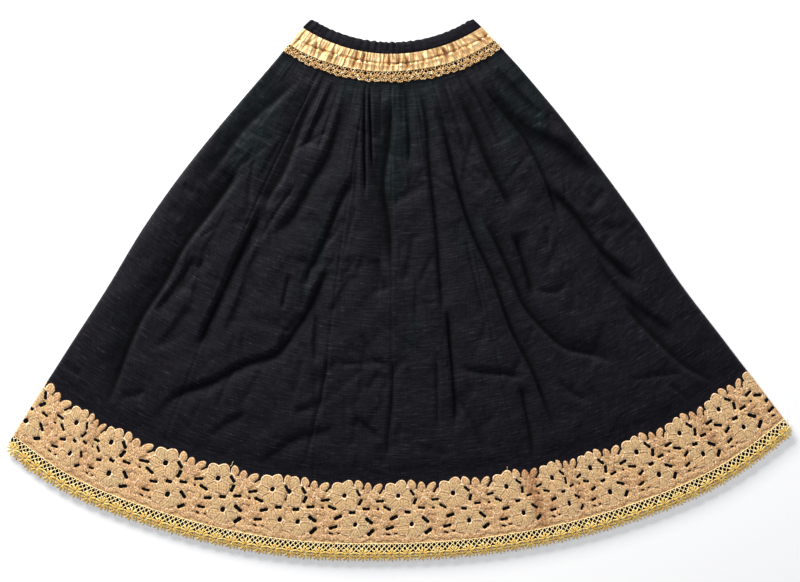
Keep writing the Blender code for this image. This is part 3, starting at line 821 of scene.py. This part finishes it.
# %% [markdown]
# ## The lace border
# The border is machine-embroidered cutwork: flowers and leaves in padded stitching, edged with a raised
# cord, and cut away between them in small slots that show the black cloth. One repeat is charted as a
# short table of petals. Over a fine grid, each point belongs to the petal that it lies deepest in;
# that gives a dome, the cord where two petals meet, and the stitch direction. Points near the edge of a
# slot are drawn onto it, so the slots have clean outlines.

# %% Chart of one border repeat
REPEATS = 14
REPEAT_MM = 97.0
FLOWER_DOWN = 821 * MM

# The strip is joined left of the middle, and is pinched in places where it was folded. These are the
# angles of the upper flowers, in degrees, with the number of the repeat that each belongs to
JOINED_AT = -9.75
FLOWERS_LEFT = [(-35.9, -7), (-30.7, -6), (-27.0, -5), (-21.6, -4), (-16.5, -3), (-11.3, -2), (-6.2, -1)]
FLOWERS_RIGHT = [
    (-9.7, -2), (-4.5, -1), (0.6, 0), (5.8, 1), (10.9, 2), (15.3, 3), (19.0, 4), (23.6, 5), (28.0, 6),
    (32.3, 7), (36.9, 8),
]
# Pinched places, painted brown as shade: angle in degrees, half width mm, how brown
PINCHES = [(-28.8, 9, 0.35), (-9.9, 4, 0.4), (13.4, 11, 0.95), (17.2, 6, 0.35), (30.3, 7, 0.4)]

# Flowers: centre right mm, centre towards the hem mm, petals, first direction degrees, reach mm, half width mm
FLOWERS = [
    (0, 0, 6, 12, 29.5, 11.8),
    (22.4, 51.8, 6, 32, 27.5, 11.4),
]

# Leaves: centre right mm, centre towards the hem mm, half length mm, half width mm, direction degrees
LEAVES = [
    (24.6, -20.0, 9.5, 7.4, 108), (42.0, -15.5, 9.0, 7.0, 93), (61.0, -14.5, 10.5, 7.2, 50),
    (37, -2, 8.5, 5.2, 135), (48, -2, 7.5, 5.0, 90), (57, 0, 8.5, 5.2, 30), (44, 10, 8.5, 5.0, 250),
    (55, 13, 8.0, 5.0, -45), (73, 3, 7.0, 4.5, 10), (37, 29, 9.0, 5.5, 15), (49, 31, 8.5, 5.5, 60),
    (62, 30, 10.0, 5.6, -10), (71, 38, 9.5, 5.6, 100), (60, 43, 9.0, 5.4, 140), (69, 52, 9.5, 5.4, 85),
    (60, 56, 8.5, 5.2, 190), (77, 49, 8.0, 5.0, 40), (77, 64, 8.0, 5.0, -20), (66, 65, 8.5, 5.4, 100),
    (88, 30, 7.5, 5.0, 70), (94, 47, 8.0, 5.2, 100), (5, 32, 8.0, 5.0, 0), (-5, 66, 8.5, 5.0, 20),
    (44, 74, 8.5, 4.8, 25), (55, 75, 8.0, 4.8, -30), (66, 77, 8.0, 4.8, 20), (77, 76, 8.5, 4.8, -25),
    (88, 76, 8.5, 4.8, 20), (2, 77, 8.5, 4.8, -25), (13, 80, 8.0, 4.4, 20), (24, 81, 8.0, 4.4, -15),
    (35, 80, 8.0, 4.4, 15),
]

# Slots: centre right mm, centre towards the hem mm, length mm, width mm, degrees rising to the right
SLOTS = [
    (0, 0, 8.6, 7.8, 80), (22.4, 51.8, 9.0, 7.2, 80), (25.3, -5, 13.4, 6.2, -50), (29.5, 10.9, 13.0, 6.8, 72),
    (65, 9, 14.6, 5.8, 10), (78, 21.7, 15.0, 5.8, -25), (41, 22.5, 12.6, 5.8, 4), (17, 29.4, 10.4, 6.6, 0),
    (47, 44, 15.2, 6.6, -40), (50.5, 64.8, 13.4, 7.4, 42), (89.8, 38.6, 13.6, 6.6, 18), (83, 57, 13.4, 6.0, 12),
    (61.5, 22.8, 4.6, 4.4, 0), (80, 68.5, 7.0, 3.8, -20), (92.5, 67.5, 4.8, 3.6, 0), (66.5, -9.5, 11, 4.2, 50),
]
# The first slots are the flowers' eyes, which are plain ovals; the others are waisted
EYES = 2
SLOT_SQUARENESS = 2.6
SLOT_GROWTH = 1.08
# Below this line the strip is solid but for its slots, and above it the petals and leaves make its edge
EDGE_ROOT_MM = -12.0


def petal_table():
    """All petals of a repeat: centre x, y, half length, half width, direction in radians, and handicap."""
    rows = [(x, y, long, wide, math.radians(turn), 0.14) for x, y, long, wide, turn in LEAVES]
    for x, y, count, first, reach, wide in FLOWERS:
        for i in range(count):
            turn = math.radians(first) + 2 * math.pi * i / count
            out = 0.58 * reach
            rows.append((x + out * math.cos(turn), y - out * math.sin(turn), 0.43 * reach, wide, turn, 0.0))
    return np.array(rows)


def along_strip(across, down):
    """Distance along the lace strip in mm: a smooth curve through the flowers' angles, on each side of the join."""
    angle = across * side_angle(across, down)
    left = smooth_curve(FLOWERS_LEFT, 1, angle)
    right = smooth_curve(FLOWERS_RIGHT, 1, angle)
    return REPEAT_MM * np.where(angle < JOINED_AT, left, right)


def nearest_repeat(distance, seed):
    """The same offset in whichever repeat is nearest, and three small numbers from -1 to 1 for that copy."""
    copy = np.round(distance / REPEAT_MM)
    uneven = [np.sin(12.9 * copy * (part + 1) + 4.1 * seed + part) for part in range(3)]
    return distance - REPEAT_MM * copy, uneven


def border_fields(right, toward_hem):
    """Depth in the deepest petal, the next one's, its stitch phase and number, and the distance to the edge.

    A petal's depth is |(along / half length, aside / half width)|: 0 at its middle and 1 at its rim.
    A leaf's depth has a handicap added, so that flowers lie over leaves.
    """
    petals = petal_table()
    best = np.full(right.shape, 9.0)
    second = np.full(right.shape, 9.0)
    phase = np.zeros(right.shape)
    owner = np.zeros(right.shape)
    shape_edge = np.full(right.shape, -99.0)
    for number, (x, y, long, wide, turn, handicap) in enumerate(petals):
        dx, uneven = nearest_repeat(right - x, number)
        dx, dy = dx + 0.5 * uneven[0], y - toward_hem + 0.5 * uneven[1]
        along = dx * math.cos(turn) + dy * math.sin(turn)
        aside = -dx * math.sin(turn) + dy * math.cos(turn)
        narrowing = (1 - 0.18 * along / long) * (1 + 0.07 * uneven[2])
        depth = np.sqrt((along / long) ** 2 + (aside / (wide * narrowing)) ** 2)
        shape_edge = np.maximum(shape_edge, (1 - depth) * wide)
        depth = depth + handicap
        closer = depth < best
        second = np.where(closer, best, np.minimum(second, depth))
        phase = np.where(closer, 0.45 * along + 0.9 * aside, phase)
        owner = np.where(closer, number, owner)
        best = np.where(closer, depth, best)
    edge = np.maximum(shape_edge, toward_hem - EDGE_ROOT_MM)
    for number, (x, y, length, width, tilt) in enumerate(SLOTS):
        dx, uneven = nearest_repeat(right - x, 3 * number + 1)
        dx, dy = dx + 0.6 * uneven[0], y - toward_hem + 0.6 * uneven[1]
        turn = np.radians(tilt + 9 * uneven[2])
        growth = SLOT_GROWTH * (1 + 0.1 * uneven[1])
        along = np.abs(dx * np.cos(turn) + dy * np.sin(turn)) / (growth * length / 2)
        waisted = 1 if number < EYES else 0.74 + 0.42 * np.clip(along, 0, 1)
        aside = np.abs(-dx * np.sin(turn) + dy * np.cos(turn)) / (growth * waisted * width / 2)
        outside = ((along ** SLOT_SQUARENESS + aside ** SLOT_SQUARENESS) ** (1 / SLOT_SQUARENESS) - 1) * width / 2
        edge = np.minimum(edge, outside)
    return best, second, phase, owner, edge


print("petals and leaves in a repeat:", len(petal_table()), "and slots:", len(SLOTS))

# %% Lace finish


def lace_material():
    """Rayon stitching over net: beige fill with a rose cast, pale peach cords with painted highlight and shadow,
    painted brown shade at folds.
    """
    made, tree, shader = new_material("embroidered_cutwork_lace_beige")
    cord, shade, stitch, fold_shade = [add(tree, "Attribute", output="Fac", attribute_name=label)
                                  for label in ("cord", "petal", "stitch", "fold_shade")]
    uv = add(tree, "UVMap", uv_map="cloth")
    grain = add(tree, "TexNoise", {"Vector": uv, "Scale": 1 / (3.2 * MM), "Detail": 3.0})
    patch = add(tree, "TexNoise", {"Vector": uv, "Scale": 1 / (34 * MM), "Detail": 2.0})
    mixed_shade = add(tree, "Math", {0: patch, 1: 0.8, 2: shade}, operation="MULTIPLY_ADD")
    shade_mid = add(tree, "Math", {0: mixed_shade, 1: 0.6}, operation="MULTIPLY")
    fill = add(tree, "ValToRGB", {"Fac": shade_mid},
               stops=[(0.2, "#d0b684"), (0.4, "#dbb782"), (0.6, "#e4b980"), (0.8, "#cf9b66")])
    threads = add(tree, "ValToRGB", {"Fac": stitch}, stops=[(0.0, "#8f7349"), (0.5, "#d9bd96"), (1.0, "#f2dcb8")])
    lined = add(tree, "Mix", {0: 0.14, 6: fill, 7: threads}, 2, data_type="RGBA")
    # Painted shadow: a dark brown line along each side of a raised cord; the cord's top is lighter pale peach, partly
    # its own colour and partly a painted highlight.
    cord_shadow = add(tree, "ValToRGB", {"Fac": cord},
                stops=[(0.0, "#ffffff"), (0.08, "#f6e6d0"), (0.32, "#6a4526"), (0.54, "#ffffff")])
    cord_shadowed = add(tree, "Mix", {0: 0.8, 6: lined, 7: cord_shadow}, 2, data_type="RGBA", blend_type="MULTIPLY")
    top = add(tree, "MapRange", {"Value": cord, "From Min": 0.42, "From Max": 0.7})
    cord_highlight_and_shadow = add(tree, "Mix", {0: top, 6: cord_shadowed, 7: hex_colour("#f8d4ac")}, 2, data_type="RGBA")
    specks = add(tree, "ValToRGB", {"Fac": grain}, stops=[(0.35, "#5f3f20"), (0.46, "#dccbb0"), (0.56, "#ffffff")])
    speckled = add(tree, "Mix", {0: 0.6, 6: cord_highlight_and_shadow, 7: specks}, 2, data_type="RGBA", blend_type="MULTIPLY")
    # Painted shade: brown where the strip is pinched and near its side folds.
    fold_shaded = add(tree, "Mix", {0: fold_shade, 6: speckled, 7: hex_colour("#935c30")}, 2, data_type="RGBA")
    bump = add(tree, "Bump", {"Height": stitch, "Strength": 0.4, "Distance": 0.4 * MM})
    plug(tree, shader, {"Base Color": fold_shaded, "Roughness": 0.68, "Sheen Weight": 0.2, "Sheen Roughness": 0.5,
                        "Normal": bump})
    return made


lace = lace_material()
print("nodes in the lace's finish:", len(lace.node_tree.nodes))

# %% Lace border surfaces
LACE_CELLS_FRONT = 70
LACE_CELLS_BACK = 44
# Real stitches lie about half a millimetre apart, too fine to show, so they are drawn as coarse bands
STITCH_PITCH_MM = 4.4
LACE_TOP_MM = -30.0
LACE_BOTTOM_MM = (BORDER_BOTTOM - FLOWER_DOWN) / MM


def lace_border(name, cells, is_front, material):
    """Grid over the border, whose faces off the lace are left out.

    Height in mm = 0.2, and 0.2 away from the slots + dome 0.9 (1 - depth^2)^0.6 + cord 0.75 + stitches 0.12.
    Points within 0.75 of a step of an edge are moved onto it, by edge / slope of the edge.
    """
    step = REPEAT_MM / cells
    columns = REPEATS * cells + 1
    rows = int(round((LACE_BOTTOM_MM - LACE_TOP_MM) / step)) + 1
    across, toward = np.meshgrid(np.linspace(-1, 1, columns), np.linspace(LACE_TOP_MM, LACE_BOTTOM_MM, rows))
    right = along_strip(across, FLOWER_DOWN + toward * MM)
    edge = border_fields(right, toward)[4]
    per_column = np.clip(np.gradient(right, axis=1), 0.3 * step, 3 * step)
    slope_x = np.gradient(edge, axis=1) / per_column
    slope_y = np.gradient(edge, toward[:, 0], axis=0)
    steep = np.maximum(slope_x ** 2 + slope_y ** 2, 0.2)
    joined = np.abs(across * side_angle(across, FLOWER_DOWN) - JOINED_AT) < 0.15
    inner = (toward < LACE_BOTTOM_MM - step) & (np.abs(across) < 1 - 2 / (columns - 1)) & ~joined
    nearby = np.where(inner & (np.abs(edge) < 0.75 * step), edge, 0)
    across = across - nearby * slope_x / steep / per_column * (across[0, 1] - across[0, 0])
    toward = toward - nearby * slope_y / steep
    down = FLOWER_DOWN + toward * MM
    right = along_strip(across, down)
    depth, second, phase, owner, _ = border_fields(right, toward)
    inside = np.clip(1 - depth ** 2, 0, 1)
    rim = np.exp(-((depth - 0.93) / 0.11) ** 2)
    meeting = np.exp(-((second - depth) / 0.13) ** 2) * (depth < 1.15)
    cord = np.clip(np.maximum(rim, meeting), 0, 1)
    stitch = 0.5 + 0.5 * np.sin(2 * math.pi * phase / STITCH_PITCH_MM)
    lowered = np.clip(edge / 2.0, 0, 1)
    lift = (0.2 + 0.2 * lowered + 0.9 * inside ** 0.6 + 0.75 * cord * lowered + 0.12 * stitch) * MM
    # Painted shade: how brown the strip is painted where it is pinched, and near its side folds where it turns under.
    fold_shade = np.zeros_like(across)
    for angle, width, strength in PINCHES:
        aside = np.radians(across * side_angle(across, down) - angle) * (WAIST_RADIUS + down) / MM
        aside = aside + 2.5 * np.sin(toward / 7)
        folded = np.exp(-(aside / width) ** 2) * (0.7 + 0.3 * np.sin(0.9 * aside + toward / 5))
        fold_shade = np.maximum(fold_shade, strength * folded * is_front)
    fold_shade = np.maximum(fold_shade, 0.5 * (1 - np.clip(to_side(across, down) / (5 * MM), 0, 1)))
    quads = grid_quads(rows, columns)
    quads = quads[edge.ravel()[quads].mean(axis=1) > 0]
    if is_front:
        points = front_point(across, down, lift)
    else:
        points = back_point(across, down, np.clip(1.6 * MM - 0.35 * lift, 0.3 * MM, 1.5 * MM) - 0.1 * MM)
        quads = quads[:, ::-1]
    used, renumbered = np.unique(quads, return_inverse=True)
    # The fraction of a large sine is an uneven number from 0 to 1 for each petal
    uneven_tone = (np.sin(owner * 12.9898) * 43758.5453) % 1
    petal_tone = np.where(owner >= len(LEAVES), 0.12, 0.55) + 0.3 * uneven_tone
    fields = {"cord": cord, "petal": petal_tone, "stitch": stitch, "fold_shade": fold_shade}
    attributes = {label: field.ravel()[used] for label, field in fields.items()}
    return mesh_piece(name, points.reshape(-1, 3)[used], renumbered.reshape(-1, 4),
                      cloth_uv(across, down).reshape(-1, 2)[used], material, attributes)


lace_front = lace_border("lace_border_front", LACE_CELLS_FRONT, True, lace)
lace_back = lace_border("lace_border_back", LACE_CELLS_BACK, False, lace)
for piece, node in ((lace_front, "border_front"), (lace_back, "border_back")):
    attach(piece, "root")
    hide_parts(node)
print("lace faces:", len(lace_front.data.polygons), len(lace_back.data.polygons))

# %% [markdown]
# ## Crochet trims
# Both trims are crocheted in yellow gold cord. The hem trim has a header, three rows of diamond net and a
# row of daisy wheels that touch each other, whose petals are loops of cord. Real crochet is one long thread,
# so it is drawn as threads: a round section carried along each path, and one path is repeated round the hem.

# %% Thread helper and finish
THREAD_SIDES = 5


def thread(paths, radius, closed=False):
    """Tubes along many paths at once: point = path + side cos(t) r + up sin(t) r, side = up x tangent."""
    tangent = np.roll(paths, -1, axis=1) - np.roll(paths, 1, axis=1) if closed else np.gradient(paths, axis=1)
    side = np.stack([-tangent[..., 1], tangent[..., 0], 0 * tangent[..., 0]], axis=-1)
    side /= np.maximum(np.linalg.norm(side, axis=-1, keepdims=True), 1e-9)
    turn = turns(THREAD_SIDES)
    ring = paths[:, :, None, :] + radius * np.cos(turn)[None, None, :, None] * side[:, :, None, :]
    ring = ring + radius * np.sin(turn)[None, None, :, None] * np.array([0, 0, 1.0])
    copies, length = paths.shape[:2]
    number = np.arange(copies * length * THREAD_SIDES).reshape(copies, length, THREAD_SIDES)
    ahead = np.roll(number, -1, axis=1)
    around = np.roll(number, -1, axis=2)
    both = np.roll(ahead, -1, axis=2)
    quads = np.stack([number, ahead, both, around], axis=-1)
    if not closed:
        quads = quads[:, :-1]
    travelled = np.cumsum(np.linalg.norm(np.diff(paths, axis=1, prepend=paths[:, :1]), axis=-1), axis=1)
    uv = np.stack(np.broadcast_arrays(travelled[:, :, None], (turn * radius)[None, None, :]), axis=-1)
    return ring.reshape(-1, 3), quads.reshape(-1, 4), uv.reshape(-1, 2)


def join_threads(name, parts, material):
    """One mesh from several thread arrays."""
    offset = 0
    quads = []
    for points, faces, _ in parts:
        quads.append(faces + offset)
        offset += len(points)
    return mesh_piece(name, np.concatenate([p[0] for p in parts]), np.concatenate(quads),
                      np.concatenate([p[2] for p in parts]), material)


def crochet_material(name, tones):
    """Twisted cord of satin-bright gold yarn: diagonal ply marks, uneven colour, warm shadows.

    The plies of so thin a cord turn about once in 2 mm, and are drawn twice as long to show.
    """
    made, tree, shader = new_material(name)
    uv = add(tree, "UVMap", uv_map="cloth")
    ply = add(tree, "TexWave", {"Vector": uv, "Scale": 1 / (4 * MM), "Distortion": 1.5, "Detail": 1.0}, "Fac",
              bands_direction="DIAGONAL")
    position = add(tree, "TexCoord", output="Object")
    patch = add(tree, "TexNoise", {"Vector": position, "Scale": 1 / (6 * MM), "Detail": 3.0})
    base = add(tree, "ValToRGB", {"Fac": patch}, stops=list(zip((0.3, 0.5, 0.7), tones)))
    shadow = add(tree, "ValToRGB", {"Fac": ply}, stops=[(0.0, "#c9a063"), (0.4, "#ffffff")])
    mixed = add(tree, "Mix", {0: 0.35, 6: base, 7: shadow}, 2, data_type="RGBA", blend_type="MULTIPLY")
    bump = add(tree, "Bump", {"Height": ply, "Strength": 0.4, "Distance": 0.3 * MM})
    plug(tree, shader, {"Base Color": mixed, "Roughness": 0.5, "Sheen Weight": 0.15, "Normal": bump})
    return made


crochet = crochet_material("twisted_gold_crochet_cord", ("#ffc05a", "#ffd972", "#ffeda2"))
old_crochet = crochet_material("twisted_old_gold_crochet_cord", ("#9c6c34", "#dcae6a", "#fff0c6"))
pale_crochet = crochet_material("twisted_cream_crochet_cord", ("#eccb84", "#fbe2a4", "#fff3cc"))


def sewn_path(centres, right, down, lift, is_front):
    """Lays a flat pattern on the garment: right and down are offsets in metres from each centre's across value."""
    across = np.asarray(centres)[:, None] + 0 * right
    across = across + right / arc(1, across, down)
    return front_point(across, down, lift) if is_front else back_point(across, down, lift)


def header_cord(across, down, lift, radius, is_front):
    """A cord along a whole side, as high all along as it is in the middle."""
    points = sewn_path([0], 0 * across, down, lift, is_front)
    points[..., 0], points[..., 1] = place(across, down)
    return thread(points, radius)


print("crochet finishes:", crochet.name, old_crochet.name, pale_crochet.name)

# %% Hem crochet
WHEELS = 55
NET_PITCHES = 158
WHEEL_DOWN = 926.5 * MM
WHEEL_UPPER_SHARE = 0.8
WHEEL_LOWER_SHARE = 0.86
NET_TOP = 906.6 * MM
NET_ROWS = 3
NET_ROW = 4.8 * MM
NET_HALF_PITCH = 4.65 * MM
NET_CORD = 0.82 * MM
WHEEL_PETALS = 10
WHEEL_CORD = 0.98 * MM
HUB_MM = 3.3
PETAL_ROOT_MM = 3.8
PETAL_TIP_MM = 13.4
# At the left end the back's wheels show past the front ones: where, how far across, and how far down
PEEP_AT, PEEP_REACH, PEEP_DOWN = -0.925, 0.035, 4.5 * MM
# Loose thread ends at the border's upper edge: angle in degrees, mm down from the waist edge
LOOSE_ENDS = [(-15.7, 795), (11.2, 795)]


def hem_droop(down):
    """Beyond the cloth's hem the front trim sinks towards the back one."""
    return -3.0 * MM * ease(CLOTH_HEM - 2 * MM, LENGTH, down)


def hem_crochet(name, is_front):
    """A header, zigzag rows of net, loose ends and wheels, which are a hub ring and petal loops.

    With t round the loop, a petal reaches out by root + (tip - root) (1 - cos t) / 2 from the wheel's middle, and
    to the side by 1.2 sin t (0.2 + 0.8 out / tip).
    """
    base_lift = 1.5 * MM if is_front else 0.75 * MM
    stout = 1.0 if is_front else 0.7
    all_round = np.linspace(-1, 1, 700)[None, :]
    header = NET_TOP + 0.3 * MM * np.sin(all_round * 500)
    net = [header_cord(all_round, header, base_lift, 0.6 * MM * stout, is_front)]
    centres = middles(NET_PITCHES)
    share = np.linspace(0, 1, 13)[None, :]
    zigzag = np.clip(1.35 * (4 * np.abs(share - 0.5) - 1), -1, 1)
    for row in range(NET_ROWS):
        right = (share - 0.5) * 2 * NET_HALF_PITCH + row % 2 * NET_HALF_PITCH
        down = NET_TOP + (row + 0.5 - zigzag / 2) * NET_ROW
        net.append(thread(sewn_path(centres, right, down, base_lift, is_front), NET_CORD * stout))
    curl = np.linspace(0, 1, 9)[None, :]
    for angle, at in LOOSE_ENDS if is_front else []:
        right = (4 * curl + 0.8 * np.sin(5 * curl)) * MM
        down = at * MM - 10 * curl * MM
        centre = angle / side_angle(angle, down)[0, :1]
        net.append(thread(sewn_path(centre, right, down, (2 + 3 * curl) * MM, True), 0.4 * MM))

    wheels = []
    centres = np.linspace(-1, 1, 2 * WHEELS + 1)[1 if is_front else 2:-1:2]
    turn = turns(16)[None, :]
    peep = (0 if is_front else PEEP_DOWN) * np.exp(-((centres - PEEP_AT) / PEEP_REACH) ** 2)[:, None]
    for number in range(WHEEL_PETALS + 1):
        towards = 2 * math.pi * (number + 0.5) / WHEEL_PETALS
        out = PETAL_ROOT_MM + (PETAL_TIP_MM - PETAL_ROOT_MM) * (0.5 - 0.5 * np.cos(turn))
        beside = 1.2 * np.sin(turn) * (0.2 + 0.8 * out / PETAL_TIP_MM)
        if number == WHEEL_PETALS:
            towards, out, beside = 0, HUB_MM * np.cos(turn), HUB_MM * np.sin(turn)
        right = (out * math.cos(towards) - beside * math.sin(towards)) * MM
        below = (out * math.sin(towards) + beside * math.cos(towards)) * MM
        down = WHEEL_DOWN + below * np.where(below < 0, WHEEL_UPPER_SHARE, WHEEL_LOWER_SHARE) + peep
        lift = base_lift + hem_droop(down) * is_front + 0.3 * MM * (number % 2) * is_front
        wheels.append(thread(sewn_path(centres, right, down, lift, is_front), WHEEL_CORD * stout, closed=True))
    return join_threads(name + "_net", net, pale_crochet), join_threads(name + "_wheels", wheels, crochet)


hem_net_front, hem_wheels_front = hem_crochet("crochet_hem_front", True)
hem_net_back, hem_wheels_back = hem_crochet("crochet_hem_back", False)
print("daisy wheels on the front:", WHEELS, "and net pitches:", NET_PITCHES)

# %% Waist crochet
WAIST_PITCHES = 58
WAIST_SCALLOPS = 29
WAIST_HALF_PITCH = 3.6 * MM
# Net rows: top and bottom, and how far to the right each starts
WAIST_ROWS = [(55.5 * MM, 61 * MM, 0), (61 * MM, 66.5 * MM, WAIST_HALF_PITCH)]
# Rings of a scallop: reach mm, ripple mm, ripples round it, middle in mm down, cord radius mm
SCALLOP_RINGS = [(1.5, 4.8, 6, 67.8, 0.62), (5.4, 0.9, 11, 67.2, 0.5)]


def waist_crochet(name, is_front):
    """A header, two zigzag rows, and scallops r = reach + ripple |sin| hung below, on a wavering line."""
    base_lift = 1.6 * MM if is_front else 0.8 * MM
    all_round = np.linspace(-1, 1, 500)[None, :]
    header = RIBBON_BOTTOM + 0.4 * MM * np.sin(all_round * 190) + trim_drift(all_round, RIBBON_BOTTOM)
    parts = [header_cord(all_round, header, base_lift, 1.0 * MM, is_front)]
    centres = middles(WAIST_PITCHES)
    uneven = 0.3 * np.sin(centres * 77) / WAIST_PITCHES
    share = np.linspace(0, 1, 9)[None, :]
    zigzag = 4 * np.abs(share - 0.5) - 1
    for top, bottom, shift in WAIST_ROWS:
        sway = 0.7 * MM * np.sin(centres * 31 + shift / MM)[:, None]
        down = (top + bottom) / 2 - zigzag * (bottom - top) / 2 + sway
        down = down + trim_drift(centres[:, None], down)
        right = (share - 0.5) * 2 * WAIST_HALF_PITCH + shift + 0.8 * sway
        parts.append(thread(sewn_path(centres + uneven, right, down, base_lift, is_front), 0.66 * MM))
    scallops = middles(WAIST_SCALLOPS)
    turn = turns(60)[None, :]
    hang = 0.9 * MM * np.sin(scallops * 23)[:, None]
    for reach, ripple, petals, middle, radius in SCALLOP_RINGS:
        distance = (reach + ripple * np.abs(np.sin(petals * (turn + 9 * scallops[:, None]) / 2))) * MM
        right = 1.25 * distance * np.cos(turn)
        down = middle * MM + 0.95 * distance * np.sin(turn) + hang
        down = down + trim_drift(scallops[:, None], down)
        lift = base_lift + 0.4 * MM * np.cos(petals * turn) * is_front
        parts.append(thread(sewn_path(scallops, right, down, lift, is_front), radius * MM, closed=True))
    return join_threads(name, parts, old_crochet)


waist_crochet_front = waist_crochet("crochet_waist_front", True)
waist_crochet_back = waist_crochet("crochet_waist_back", False)
CROCHETS = [
    (hem_net_front, "hem_crochet_front"), (hem_wheels_front, "hem_crochet_front"),
    (hem_net_back, "hem_crochet_back"), (hem_wheels_back, "hem_crochet_back"),
    (waist_crochet_front, "waist_crochet_front"), (waist_crochet_back, "waist_crochet_back"),
]
for piece, node in CROCHETS:
    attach(piece, "root")
    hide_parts(node)
    print(piece.name, "faces:", len(piece.data.polygons))

# %% [markdown]
# ## What is cloth
# The skirt's cloth, casing, ribbon and border are sheets that were cut flat and sewn on.

print("sheets:", [sheet.name for sheet in (skirt_cloth, waist_casing, satin_ribbon, lace_front, lace_back)])
